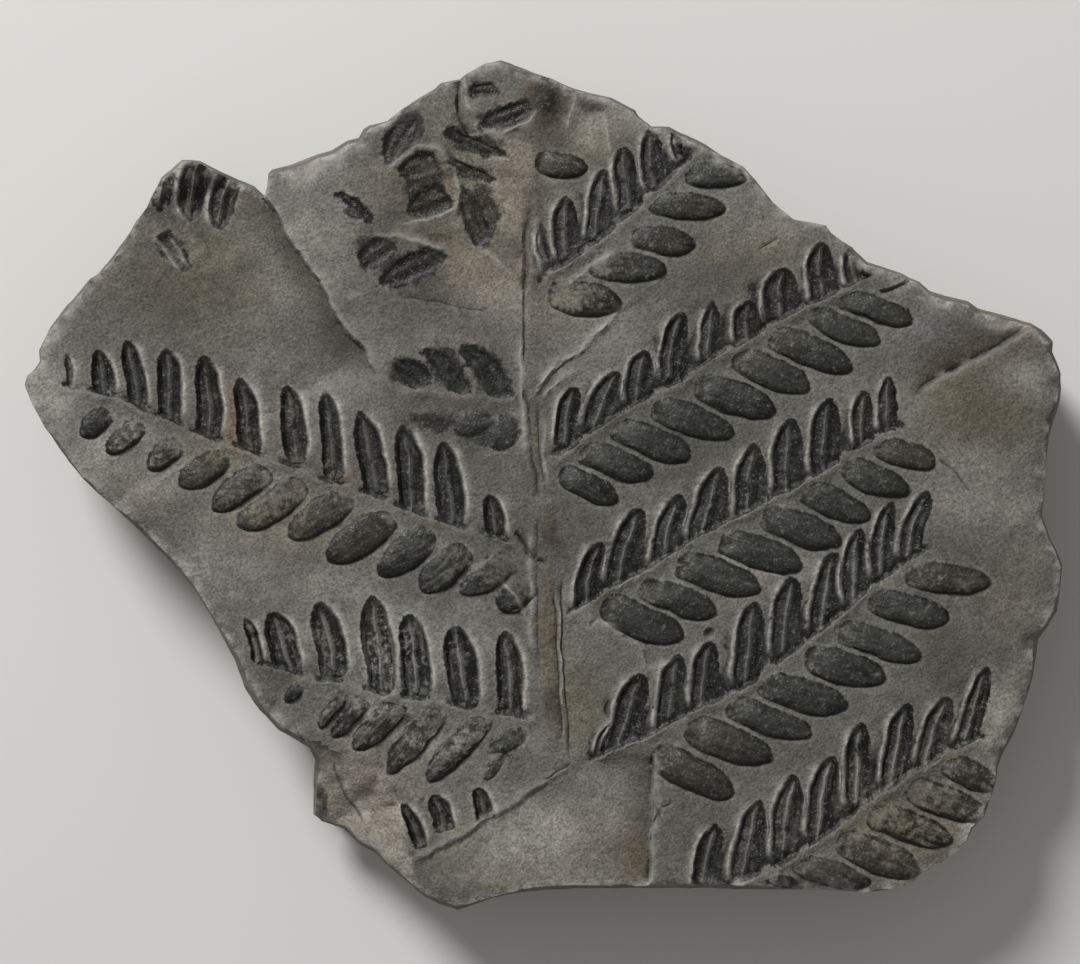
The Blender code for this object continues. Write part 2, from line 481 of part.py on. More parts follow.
class PointSet:
    """Points of the face and the edges that have to run between them, with close points joined."""

    def __init__(self, border):
        self.border = border
        self.points = [tuple(point) for point in border]
        self.edges = [(index, (index + 1) % len(border)) for index in range(len(border))]

    def is_inside(self, point, margin):
        """Whether a place is on the face and clear of its border."""
        start = self.border
        end = np.roll(self.border, -1, axis=0)
        run = end - start
        share = np.clip(((point - start) * run).sum(axis=1) / (run ** 2).sum(axis=1), 0.0, 1.0)
        gap = np.hypot(*(point - start - run * share[:, None]).T).min()
        spans = (start[:, 1] > point[1]) != (end[:, 1] > point[1])
        with np.errstate(divide="ignore", invalid="ignore"):
            crossing = start[:, 0] + (point[1] - start[:, 1]) * run[:, 0] / run[:, 1]
        return gap > margin and np.count_nonzero(spans & (crossing > point[0])) % 2 == 1

    def add(self, point):
        """Index of the point, or of one that is already close enough to stand for it."""
        near = np.hypot(*(np.array(self.points) - point).T)
        closest = int(near.argmin())
        if near[closest] < MERGE_DISTANCE:
            return closest
        self.points.append(tuple(point))
        return len(self.points) - 1

    def add_line(self, line, closed=False):
        """Points along a line and the edges between neighbours that are both on the face."""
        indices = [self.add(p) if self.is_inside(p, MERGE_DISTANCE) else None for p in line]
        followers = indices[1:] + indices[:1] if closed else indices[1:]
        for first, second in zip(indices, followers):
            if first is not None and second is not None and first != second:
                self.edges.append((first, second))

    def fill(self, spacing, clearance):
        """Bare points in staggered, shaken rows between the modelled ones."""
        draw = random.Random(FILL_SEED)
        shake = spacing / 5.0
        low = self.border.min(axis=0)
        high = self.border.max(axis=0)
        rows = np.arange(low[1], high[1], spacing * math.sin(math.pi / 3.0))
        for number, row in enumerate(rows):
            for column in np.arange(low[0] + (number % 2) * spacing / 2.0, high[0], spacing):
                point = np.array((column + draw.uniform(-shake, shake), row + draw.uniform(-shake, shake)))
                near = np.hypot(*(np.array(self.points) - point).T).min()
                if near > clearance and self.is_inside(point, clearance):
                    self.points.append(tuple(point))


def lay_out_face(border, leaflets):
    """Flat layout of the face: its points and triangles, with the border's points first."""
    layout = PointSet(border)
    for leaflet in leaflets:
        layout.add_line(leaflet.ring(1.0, RING_POINTS), closed=True)
    for leaflet in leaflets:
        layout.add_line(leaflet.ring(INNER_RING, INNER_RING_POINTS), closed=True)
        layout.add_line(leaflet.rib())
        if leaflet.hollow:
            layout.add_line(leaflet.rim())
    for line, _, step, _ in LEDGES:
        edge = divide(line, LEDGE_SPACING, closed=False)
        layout.add_line(edge)
        layout.add_line(offset_line(edge, step))
    for line, _, half_width in CRACKS:
        for offset in (-half_width, 0.0, half_width):
            layout.add_line(offset_line(line, offset))
    for line in RIGHT_STALKS + LEFT_STALKS:
        layout.add_line(line)
    for offset in (-STEM_WIDTH, 0.0, STEM_WIDTH):
        layout.add_line(offset_line(STEM, offset))
    layout.add_line(CORNER_BREAK)
    layout.add(np.array(PIT))
    for number in range(PIT_POINTS):
        turn = 2.0 * math.pi * number / PIT_POINTS
        layout.add(np.array(PIT) + PIT_RADIUS * np.array((math.cos(turn), math.sin(turn))))
    layout.fill(BARE_SPACING, CLEARANCE)
    flat = [Vector(point) for point in layout.points]
    points, _, triangles, origins, _, _ = delaunay_2d_cdt(flat, layout.edges, [], 1, CROSSING_DISTANCE)
    return points, triangles, origins


def slab_mesh():
    """The slab as one closed mesh: face, broken sides and flat underside."""
    leaflets = make_leaflets()
    outline = divide(OUTLINE, SIDE_SPACING, closed=True)
    inward = inward_directions(outline)
    centre = 0.5 * (outline.min(axis=0) + outline.max(axis=0))
    border = outline + inward * (SIDE_LAYERS[0][1] * uneven(len(outline), SIDE_SEED))[:, None]
    points, triangles, origins = lay_out_face(border, leaflets)

    mesh = bmesh.new()
    sheet = np.array([(point.x, point.y) for point in points])
    heights = face_height(sheet[:, 0], sheet[:, 1], leaflets)

    def vertex(place, height):
        return mesh.verts.new(((place[0] - centre[0]) * MM, (centre[1] - place[1]) * MM, height * MM))

    face_vertices = [vertex(place, height) for place, height in zip(sheet, heights)]
    for triangle in triangles:
        mesh.faces.new([face_vertices[index] for index in triangle])

    border_places = {}
    for index, sources in enumerate(origins):
        for source in sources:
            if source < len(border):
                border_places[source] = index
    rim = [border_places[index] for index in range(len(border))]
    rim_heights = heights[rim]
    rings = [[face_vertices[index] for index in rim]]
    for number, (share, inset) in enumerate(SIDE_LAYERS[1:], start=1):
        places = outline + inward * (inset * uneven(len(outline), SIDE_SEED + number))[:, None]
        rings.append([vertex(place, share * top) for place, top in zip(places, rim_heights)])
    for upper, lower in zip(rings, rings[1:]):
        for index in range(len(upper)):
            after = (index + 1) % len(upper)
            mesh.faces.new((upper[index], upper[after], lower[after], lower[index]))
    mesh.faces.new(rings[-1])
    bmesh.ops.triangulate(mesh, faces=mesh.faces[:])
    bmesh.ops.recalc_face_normals(mesh, faces=mesh.faces[:])
    return mesh


def slate_material():
    """Dark grey slate."""
    material = bpy.data.materials.new("dark_slate")
    material.use_nodes = True
    shader = material.node_tree.nodes["Principled BSDF"]
    shader.inputs["Base Color"].default_value = (0.085, 0.083, 0.077, 1.0)
    shader.inputs["Roughness"].default_value = 0.62
    shader.inputs["Metallic"].default_value = 0.0
    return material


def main():
    for item in list(bpy.data.objects):
        bpy.data.objects.remove(item, do_unlink=True)
    mesh = slab_mesh()
    data = bpy.data.meshes.new("fern_fossil_slab")
    mesh.to_mesh(data)
    mesh.free()
    data.materials.append(slate_material())
    slab = bpy.data.objects.new("fern_fossil_slab", data)
    bpy.context.scene.collection.objects.link(slab)


main()
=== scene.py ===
"""Looks of the fossil fern plate: the slab's whole surface, its slate finish, the light and the camera.

One closed piece stands for the slab. It repeats the slab's driving dimensions and adds the grain,
flakes, chips and thin layers of real slate.
"""

import math
import random

import bpy
import numpy as np
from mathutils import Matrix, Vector
from mathutils.geometry import delaunay_2d_cdt


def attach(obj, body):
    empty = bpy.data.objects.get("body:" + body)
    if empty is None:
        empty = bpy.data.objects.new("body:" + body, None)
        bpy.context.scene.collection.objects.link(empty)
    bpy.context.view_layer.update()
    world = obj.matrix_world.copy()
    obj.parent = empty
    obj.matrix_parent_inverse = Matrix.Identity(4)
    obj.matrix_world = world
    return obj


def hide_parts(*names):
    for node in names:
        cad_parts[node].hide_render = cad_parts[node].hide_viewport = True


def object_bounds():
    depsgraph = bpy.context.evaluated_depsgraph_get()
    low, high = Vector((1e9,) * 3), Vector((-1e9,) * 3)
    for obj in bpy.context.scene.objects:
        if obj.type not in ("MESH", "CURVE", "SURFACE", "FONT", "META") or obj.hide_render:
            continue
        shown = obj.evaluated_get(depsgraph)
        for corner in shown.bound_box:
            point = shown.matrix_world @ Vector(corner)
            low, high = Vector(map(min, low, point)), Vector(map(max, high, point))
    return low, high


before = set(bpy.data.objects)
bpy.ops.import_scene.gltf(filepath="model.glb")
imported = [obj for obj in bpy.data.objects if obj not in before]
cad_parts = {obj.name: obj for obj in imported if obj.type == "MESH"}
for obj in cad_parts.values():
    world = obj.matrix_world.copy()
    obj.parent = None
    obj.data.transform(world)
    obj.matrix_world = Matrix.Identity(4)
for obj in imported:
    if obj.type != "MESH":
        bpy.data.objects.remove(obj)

SLAB = "fern_fossil_slab"
MM = 0.001
cad_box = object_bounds()

# Driving dimensions of the slab, in millimetres.
FACE_HEIGHT = 12.0  # from the underside to the fossil face
FACE_SWELL = 0.22  # slow rise and fall of the split face
SWELL_LENGTHS = (15.0, 12.0, 7.3, 9.1)  # of its broad wave along x and y, and of its narrow one
SWELL_SHIFTS = (0.7, 0.4)
PILLOW_RISE = 0.50  # leaflets of the lower rows stand up
TROUGH_DEPTH = 0.45  # leaflets of the upper rows are hollow
MIDRIB_RISE = 0.28  # thin rib along the floor of a trough
MIDRIB_WIDTH = 0.28
RIM_RISE = 0.30  # lip along one side of a trough
RIM_WIDTH = 0.40
STALK_RISE = 0.22  # the stalk that carries two rows of leaflets
STALK_WIDTH = 0.55
STEM_RISE = 0.28
STEM_WIDTH = 0.95
BREAK_STEP = 0.25  # drop at the edge of the broad chipped corner
BREAK_SLOPE = 0.62  # its fall after that, per millimetre

# Spacing of the surface's points, in millimetres.
CONTOUR_SPACING = 0.28  # along leaflets, ledges and cracks
CONTOUR_GAPS = (0.0, 0.2, -0.2, 0.42, -0.48)  # from a leaflet's outline, those inside it below zero
CONTOUR_CLEARANCE = 0.15
CONTOUR_TURNS = 96  # places of a leaflet's first contour
CONTOUR_PASSES = 6  # steps that bring it to its distance
WIDE_CLEARANCE = 1.4 * CONTOUR_CLEARANCE
PIT_CLEARANCE = 0.8 * CONTOUR_CLEARANCE
LINE_CLEARANCE = 0.6  # of a crack's points, as a part of its half width
STALK_OFFSETS = (0.0, -0.3, 0.3, -0.7, 0.7)  # rows of points beside a stalk
BREAK_OFFSETS = (0.0, 0.3, 0.8, 1.4)  # rows beside the edge of the chipped corner
LEDGE_MARGIN = 0.25  # rows this far beyond both sides of a ledge's step
RIB_ENDS = (0.06, 0.94)  # parts of a leaflet's length between which its rib has points
PIT_RINGS = (0.35, 0.7, 1.0, 1.35)  # rings of points round the pit, as parts of its radius
PIT_TURNS = 16
FILL_SPACING = 0.50
FILL_CLEARANCE = 0.30
SIDE_SPACING = 0.5
SIDE_LEVELS = 24
BACK_SPACING = 0.85
WITHIN_EDGES = 1  # kind of triangulation that stays within a closed border
MERGE_GAP = 0.0001  # places closer than this are one
FAR = 3.0  # nothing is read from a leaflet further away than this
SHARP_ANGLE = 42.0  # degrees between faces that meet in a sharp edge

# Grain and flakes of the split face, in millimetres. A pair of amount and size says how much
# something is uneven, and over what distance.
LAYER_SHIFT = (17.3, 5.1)  # between the layers of an unevenness
GRAIN_RISE = 0.04
GRAIN_SIZE = 1.5
FLAKE_SIZE = 13.0  # across a thin flake left on the split face
FLAKE_STEP = 0.07
FLAKE_LEVELS = 3.2  # more levels make more steps
FLAKE_FLAT = 0.82  # part of a step that is level
WANDER = 0.17  # how far the drawn forms wander from their places
WANDER_SIZE = 2.4
WANDER_SHIFT = (31.0, 47.0)  # lets the two directions wander on their own
WANDER_FADE = 2.0  # near the border they keep their places

# Leaflets and stalks, in millimetres.
BAND_WIDTH = 0.42  # of bare slate between neighbouring leaflets
TORN_RELIEF = 0.45  # relief of a torn leaflet, as a part of a whole one's
RIM_FADE = 0.2  # part of its length over which a rim comes up
PILLOW_EDGE = (-0.02, 0.22)  # inside its outline, where a pillow begins and is full
FOOT_GRAIN = (0.09, 0.8)  # amount and size of the roughness of a pillow's foot
ROUGH_PART = (0.25, 0.75)  # parts of a pillow's length over which that roughness fades
LEAF_EDGE = 0.3  # ridges and roughness come up over this distance inside the outline
RIDGE_SPACING = 0.62  # lengthwise ridges on striped leaflets
RIDGE_RISE = 0.07
RIDGE_WANDER = (0.35, 2.5)  # amount, as a part of their spacing, and size
WEB_DEPTH = 0.22  # of the dip that joins neighbouring hollow leaflets, painted over with film and painted shade
WEB_SHARES = (1.0, 0.3)  # how much of it there is on the right and on the left of the stem
WEB_REACH = (1.3, 0.5)  # how far it lies from a leaflet at most, and over what it thins out
WEB_SPAN = (1.9, 0.5)  # the same from the second leaflet
WEB_PART = (0.4, 0.8)  # the film ends between these parts of a leaflet's length
STALK_SHAKE = (0.2, 1.4)  # amount and size by which a stalk's edges wander
STALK_CHANGE = (0.7, 2.6)  # amount and size by which its height changes along it
STALK_MEAN = 0.8  # part of its full height
STALK_LIMITS = (0.2, 1.2)
FOOT_GROOVE = 0.22  # depth of the groove where hollow leaflets meet their stalk
GROOVE_START = (0.05, 0.25)  # from the stalk's middle line, where the groove begins and is full
GROOVE_END = (0.4, 0.95)  # where it starts to fade and is gone
GROOVE_REACH = (0.3, 1.0)  # the same from a leaflet's outline
CUT_GAP = 2.0  # moves the film away from where a stalk cuts its leaflet off

# Ledges, cracks and the chipped corner, in millimetres.
LEDGE_SHAKE = (0.16, 1.1)  # amount and size by which a ledge's edge wanders
LEDGE_SHADE_REACH = 2.2  # painted shade lies this far out from the foot of a ledge
SHADED_DEPTHS = (0.3, 0.6)  # depths of ledges that get no painted shade and that get the most
LIP_PLACE = -0.1  # of the painted highlight along a ledge's edge, from that edge
LIP_WIDTH = 0.28
LIP_REACH = 7.0  # ledges that come level again sooner have a weaker painted highlight
CRACK_SHAKE = (0.4, 0.9)  # amount, as a part of a crack's half width, and size
RIDGE_SHAKE = (0.5, 1.2)  # the same for a fine ridge
BREAK_SHAKE = (0.25, 1.6)  # amount and size by which the chipped corner's edge wanders
BREAK_EDGE = 0.4  # width of that edge
BREAK_GRAIN = 0.40  # roughness of the chipped corner
BREAK_SIZE = 4.5  # of its steps
BREAK_LEVELS = 3.0
BREAK_SWELL = 0.4  # its slow unevenness, as a part of its roughness

# Chips and wear along the border, in millimetres.
ROUND_LENGTH = 286.0  # rough length of the border
BORDER_SHAKE = (0.22, 2.2)  # amount and size by which the face's border wanders inwards
CHIP_SIZE = 5.0  # along the border
CHIP_REACH = 1.3  # into the face
CHIP_MEAN = 0.25  # part of that reach
CHIP_LIMITS = (0.12, 1.2)
CHIP_SHAKE = (0.25, 0.9)  # amount and size by which a chip's edge wanders
CHIP_EDGE = 0.25  # width of that edge
CHIP_SLOPE = 0.42
EDGE_WEAR = 0.55  # how far the outer edge's wear reaches into the face
WORN_SHARE = 0.06  # and down the side, as a part of the height

# Layers of the sides and flakes of the underside, in millimetres.
SIDE_LAYER_COUNT = 9.0
LAYER_WAVE = (0.5, 30.0)  # by how many layers they rise and fall along the side, and size
LAYER_SHAKE = 0.42  # how unevenly their ends lie
LAYER_ENDS = (3.0, -0.3, 1.0)  # size along the side, and limits of that unevenness
LAYER_FRAY = (0.10, 1.3)  # amount and size by which the ends are frayed
LAYER_ROWS = (40.0, 5.7, 3.1, 60.0)  # where the wave, the ends and the fray are read
LAYER_SET_BACK = 0.12  # added to the unevenness, which never reaches outwards
LAYER_START = 5.0  # the ends come up over one part in this many of the height
WIDEST_PART = 0.25  # of the unevenness that is left where the side is widest
WIDEST_RETURN = 6.0  # how fast it comes back above and below
BACK_SIZE = 22.0  # across a flake of the underside
BACK_STEP = 0.30
BACK_LEVELS = 4.0
BACK_MEAN = 0.35  # part of the levels that is missing on average
BACK_FLAT = 0.75  # part of a step that is level

LEAFLET_SEED = 3
GRAIN_SEED = 11
FLAKE_SEED = 12
SIDE_GRAIN_SEED = 13
BACK_SEED = 14

# Broken sides: part of the local height, and how far the side lies inside the outline.
SIDE_LAYERS = (
    (1.00, 0.45),
    (0.88, 0.00),
    (0.63, 0.22),
    (0.59, 0.85),
    (0.33, 0.50),
    (0.28, 1.30),
    (0.00, 1.75),
)
OUTLINE_SPACING = 3.4  # longest straight run along the broken edge
SIDE_WAVES = (3, 7, 13, 29)  # waves of unevenness round the slab
SIDE_UNEVENNESS = (0.12, 0.30)  # smallest and largest part that a wave adds
SIDE_LIMITS = (0.2, 1.9)  # smallest and largest part of an inset
SIDE_SEED = 20
CORNER_EASE = 6  # how often the directions at neighbouring points are evened out

# Places on the face are in millimetres on a drawing sheet:
# x to the right from its left edge, y down from its top edge.
OUTLINE = (
    (2.1, 38.4), (2.3, 37.5), (3.0, 36.8), (3.5, 36.0), (3.4, 34.9), (4.1, 33.4), (4.4, 32.7),
    (5.2, 31.6), (6.3, 30.2), (7.5, 28.9), (8.5, 27.7), (9.4, 27.1), (10.0, 26.4), (11.0, 25.1),
    (12.6, 23.0), (13.2, 21.9), (14.4, 20.5), (14.9, 19.2), (15.8, 17.5), (17.2, 16.3),
    (17.9, 15.7), (19.0, 15.7), (19.8, 15.8), (21.0, 16.4), (23.8, 17.7), (25.1, 18.3),
    (26.2, 19.3), (26.5, 18.5), (26.6, 17.1), (27.0, 16.7), (28.0, 16.4), (30.1, 15.7),
    (31.5, 15.1), (33.0, 14.7), (34.5, 13.8), (35.7, 13.5), (36.2, 12.7), (36.8, 12.3),
    (38.6, 11.8), (40.3, 10.5), (41.8, 9.5), (43.4, 8.6), (44.0, 8.0), (45.9, 7.6), (47.0, 6.8),
    (48.5, 6.0), (50.0, 5.7), (51.1, 6.0), (53.5, 7.0), (55.2, 7.5), (57.3, 8.5), (59.0, 9.0),
    (61.2, 9.5), (63.6, 10.7), (63.9, 11.3), (65.2, 12.4), (66.1, 12.4), (67.0, 12.4),
    (68.9, 13.3), (70.7, 14.2), (73.1, 15.6), (74.5, 16.4), (75.7, 17.8), (77.5, 20.0),
    (79.6, 21.7), (81.7, 22.1), (82.7, 22.4), (83.3, 23.1), (84.6, 23.9), (85.5, 24.5),
    (87.0, 26.0), (90.5, 27.1), (92.3, 27.9), (93.3, 28.8), (94.9, 29.4), (97.1, 29.9),
    (98.2, 30.6), (101.1, 31.4), (103.5, 32.1), (104.6, 32.8), (105.7, 34.0), (105.7, 35.1),
    (106.6, 37.3), (106.7, 38.7), (106.5, 40.1), (105.4, 43.5), (105.0, 46.8), (104.9, 49.5),
    (104.6, 51.5), (105.4, 53.6), (106.2, 55.2), (106.6, 56.7), (106.4, 58.7), (106.1, 61.2),
    (105.1, 62.8), (104.3, 64.0), (103.7, 67.9), (103.2, 69.6), (101.8, 73.7), (100.9, 75.2),
    (100.2, 76.8), (99.9, 78.5), (98.8, 81.9), (97.6, 83.1), (97.0, 84.4), (96.1, 85.2),
    (92.8, 87.4), (91.3, 88.6), (89.3, 89.2), (87.0, 89.5), (84.3, 89.3), (65.0, 89.2),
    (54.6, 89.3), (51.8, 89.6), (49.1, 90.3), (47.0, 91.0), (45.7, 91.4), (43.8, 90.8),
    (42.4, 90.0), (41.0, 88.9), (38.5, 87.0), (37.1, 85.8), (35.7, 85.2), (33.9, 83.6),
    (31.6, 83.0), (30.8, 82.2), (31.0, 78.3), (31.2, 76.3), (30.7, 75.1), (29.1, 74.0),
    (27.6, 73.1), (25.7, 71.2), (24.2, 68.9), (23.3, 66.2), (20.6, 61.2), (19.1, 58.8),
    (17.0, 56.5), (12.7, 52.3), (9.7, 49.6), (7.9, 47.9), (6.4, 46.1), (3.9, 42.6), (2.7, 40.0),
)

# The stem runs down the frond, and the side stalks leave it to the right and to the left.
STEM = (
    (54.6, 7.4), (54.2, 11.0), (53.4, 15.0), (52.6, 20.0), (52.7, 26.0), (52.9, 33.0),
    (53.0, 40.0), (53.6, 45.0), (54.9, 50.0), (55.1, 55.0), (54.9, 62.0), (55.0, 70.0),
    (55.7, 76.4),
)
RIGHT_STALKS = (
    ((53.4, 30.0), (54.8, 27.8), (58.0, 25.8), (61.5, 23.2), (64.5, 20.5), (67.2, 18.0),
     (69.8, 15.6)),
    ((53.8, 46.8), (57.5, 44.9), (61.0, 42.2), (65.0, 40.0), (69.0, 37.8), (73.0, 35.0),
     (76.5, 33.2), (80.0, 31.2), (83.5, 29.5), (87.4, 27.9)),
    ((55.8, 62.2), (60.0, 59.8), (64.5, 57.2), (69.0, 54.5), (72.5, 52.5), (76.0, 50.8),
     (80.0, 48.7), (83.5, 46.8), (86.3, 44.8), (89.5, 43.2)),
    ((59.4, 76.2), (64.5, 74.0), (69.0, 71.8), (72.5, 70.0), (75.5, 68.4), (78.5, 66.2),
     (81.5, 63.8), (84.5, 61.4), (87.5, 59.0), (90.5, 56.8), (93.0, 55.0)),
    ((69.0, 89.4), (73.0, 88.9), (77.0, 87.4), (80.5, 85.4), (83.0, 83.6), (85.5, 81.8),
     (88.0, 79.6), (91.5, 77.7), (94.5, 76.0), (98.0, 74.0)),
)
LEFT_STALKS = (
    ((52.4, 40.1), (48.0, 39.9), (44.0, 39.6), (40.0, 39.1)),
    ((54.2, 56.6), (51.5, 54.6), (48.0, 53.4), (44.0, 52.4), (39.5, 50.8), (35.0, 49.1),
     (30.5, 47.6), (26.5, 46.0), (22.5, 44.5), (19.1, 43.3), (15.3, 41.6), (11.8, 40.2),
     (9.2, 39.4), (6.6, 38.7)),
    ((54.4, 72.4), (50.0, 71.9), (47.0, 71.2), (41.5, 70.3), (37.5, 69.4), (34.0, 68.6),
     (30.0, 67.8), (26.4, 66.6)),
)

# Leaflets, from the foot on the stalk to the tip: foot x, foot y, tip x, tip y, width.
# The width of a trough takes in its rim.
RIGHT_TROUGHS = (
    # first stalk
    (54.6, 26.4, 53.9, 22.8, 1.3), (56.6, 25.9, 56.4, 19.6, 2.7), (59.4, 24.1, 60.4, 16.8, 2.7),
    (62.9, 21.2, 62.2, 14.7, 2.8), (65.5, 19.0, 64.9, 12.9, 2.6), (68.0, 16.1, 67.3, 12.9, 1.5),
    # second stalk
    (56.3, 44.6, 57.3, 38.8, 2.9), (59.2, 43.1, 61.7, 37.2, 3.3), (63.6, 40.7, 64.5, 35.0, 3.0),
    (66.8, 38.1, 68.0, 31.2, 2.7), (70.8, 36.2, 71.0, 30.2, 2.2), (74.6, 34.3, 74.8, 30.2, 3.5),
    (77.9, 32.0, 78.3, 26.9, 3.8), (82.2, 30.3, 82.0, 24.1, 3.1), (85.7, 28.4, 84.9, 24.9, 2.4),
    # third stalk
    (58.2, 61.4, 59.9, 54.0, 3.0), (61.8, 58.9, 63.6, 50.8, 3.4), (66.0, 57.0, 67.7, 49.5, 3.2),
    (70.0, 54.6, 72.0, 46.7, 3.5), (74.5, 52.2, 75.4, 44.3, 3.2), (78.5, 50.0, 79.0, 42.0, 3.4),
    (82.2, 47.8, 82.8, 39.8, 3.2), (86.2, 44.6, 86.3, 39.0, 2.4), (88.8, 43.3, 88.7, 37.7, 2.2),
    # fourth stalk
    (59.8, 75.7, 61.0, 72.2, 1.6), (61.8, 75.0, 64.1, 67.3, 3.4), (66.7, 73.5, 67.7, 65.5, 3.2),
    (70.1, 71.2, 70.9, 64.2, 3.0), (74.3, 68.8, 75.5, 60.3, 3.2), (78.2, 66.1, 79.3, 57.5, 3.2),
    (82.0, 63.4, 83.2, 55.2, 3.0), (85.2, 60.7, 85.8, 53.0, 2.8), (87.8, 58.2, 89.0, 50.3, 2.6),
    (90.5, 56.2, 92.6, 49.0, 2.5),
    # fifth stalk
    (70.0, 89.2, 71.6, 82.5, 2.8), (74.0, 88.8, 75.8, 80.1, 3.2), (78.0, 86.4, 79.4, 77.6, 3.2),
    (81.7, 84.2, 83.0, 75.6, 3.2), (85.6, 81.2, 86.0, 72.2, 3.0), (89.0, 78.9, 90.7, 70.4, 3.0),
    (92.5, 77.0, 94.7, 69.5, 2.8), (96.2, 75.0, 98.8, 66.8, 2.6),
)
RIGHT_PILLOWS = (
    # first stalk, with a loose leaflet above it
    (53.4, 16.0, 58.9, 16.8, 2.6),
    (68.4, 17.4, 74.8, 17.7, 2.6), (64.8, 20.2, 72.6, 21.0, 2.8), (63.2, 23.6, 69.8, 24.6, 3.0),
    (58.8, 26.4, 66.7, 27.0, 3.2), (54.8, 29.4, 62.3, 30.3, 3.5),
    # second stalk
    (56.0, 47.1, 61.9, 50.1, 2.9), (57.8, 45.2, 65.3, 47.3, 3.3), (61.2, 42.8, 69.2, 45.6, 3.5),
    (65.3, 40.6, 73.4, 43.5, 3.4), (69.5, 38.5, 77.8, 41.2, 3.4), (73.3, 35.6, 81.2, 38.8, 3.4),
    (77.0, 33.6, 85.4, 36.8, 3.3), (80.8, 31.2, 88.1, 34.2, 3.1), (83.8, 29.9, 91.3, 32.0, 2.9),
    # third stalk
    (60.0, 60.3, 68.4, 63.9, 3.8), (64.0, 58.8, 71.8, 61.4, 3.3), (67.2, 56.3, 76.3, 59.0, 3.5),
    (71.8, 54.0, 80.4, 56.6, 3.4), (76.0, 51.5, 84.2, 54.4, 3.4), (80.0, 49.0, 87.1, 51.8, 3.1),
    (84.2, 46.6, 91.0, 49.3, 3.1), (87.5, 44.5, 93.8, 46.3, 2.8),
    # fourth stalk
    (65.2, 75.3, 73.5, 79.4, 3.6), (68.5, 72.6, 77.5, 76.0, 3.7), (72.7, 70.5, 81.2, 73.4, 3.4),
    (75.7, 68.3, 84.9, 70.7, 3.7), (80.6, 65.5, 88.7, 67.9, 3.5), (83.8, 63.0, 92.2, 65.7, 3.2),
    (86.8, 59.9, 95.0, 62.0, 3.1), (90.5, 57.5, 99.3, 58.3, 3.0),
    # fifth stalk
    (76.4, 87.7, 79.8, 88.4, 1.3), (79.2, 86.4, 87.2, 88.3, 2.7), (83.8, 83.9, 92.1, 87.3, 3.7),
    (86.8, 81.3, 95.4, 84.2, 3.4), (90.5, 78.6, 98.8, 81.7, 3.3), (94.3, 76.1, 99.8, 78.8, 2.9),
)
LEFT_TROUGHS = (
    # middle stalk
    (7.0, 39.0, 6.6, 35.5, 1.0), (10.4, 39.5, 9.8, 35.0, 2.5), (13.7, 40.7, 12.7, 34.0, 2.5),
    (17.0, 42.2, 16.6, 34.8, 2.8), (21.0, 43.7, 20.3, 35.5, 3.0), (25.2, 45.3, 24.0, 37.8, 2.8),
    (29.8, 46.4, 28.8, 38.6, 2.9), (33.7, 48.0, 32.6, 39.3, 2.6), (37.8, 49.6, 36.2, 41.1, 3.0),
    (41.5, 51.4, 40.5, 42.5, 3.2), (45.5, 52.5, 44.3, 44.1, 3.2), (50.0, 54.1, 49.0, 49.5, 2.6),
    # lower stalk
    (26.0, 66.3, 24.6, 61.7, 1.6), (29.2, 67.3, 27.2, 61.2, 3.3), (33.7, 67.8, 32.0, 60.3, 3.3),
    (38.4, 69.1, 37.2, 59.6, 3.5), (41.9, 69.8, 41.1, 61.4, 3.4), (46.8, 70.9, 45.5, 62.6, 3.5),
    (51.2, 71.7, 50.6, 63.0, 3.1),
    # leaflets whose stalk is broken away below
    (42.4, 84.8, 40.3, 80.3, 1.8), (44.6, 83.2, 43.3, 79.5, 2.6), (48.7, 82.2, 48.0, 78.9, 2.2),
    # leaflets of a lost frond on the far left corner
    (16.9, 16.4, 15.4, 20.8, 2.5), (19.5, 16.2, 18.6, 22.0, 3.2), (22.8, 17.4, 21.3, 22.6, 3.0),
)
LEFT_PILLOWS = (
    # middle stalk
    (10.8, 41.3, 7.8, 43.4, 2.4), (14.0, 42.3, 10.5, 45.2, 2.4), (17.8, 44.2, 14.5, 46.8, 2.6),
    (22.6, 45.5, 17.8, 48.7, 3.1), (26.8, 46.9, 21.2, 50.8, 3.2), (30.5, 48.4, 23.7, 52.6, 3.5),
    (35.2, 49.5, 28.6, 53.8, 3.3), (39.3, 51.7, 32.5, 55.9, 3.5), (43.2, 53.3, 37.7, 57.5, 3.4),
    (46.8, 54.8, 42.0, 59.0, 3.4), (51.5, 56.0, 45.8, 59.2, 3.3), (52.5, 58.3, 50.0, 61.1, 3.2),
    # lower stalk
    (30.0, 68.4, 28.5, 70.3, 1.4), (34.5, 69.2, 31.8, 72.8, 1.8), (36.6, 69.7, 33.3, 73.8, 2.2),
    (40.3, 70.0, 35.3, 74.9, 3.0), (44.2, 70.8, 38.6, 77.4, 2.8), (48.9, 71.4, 42.7, 78.2, 2.8),
)
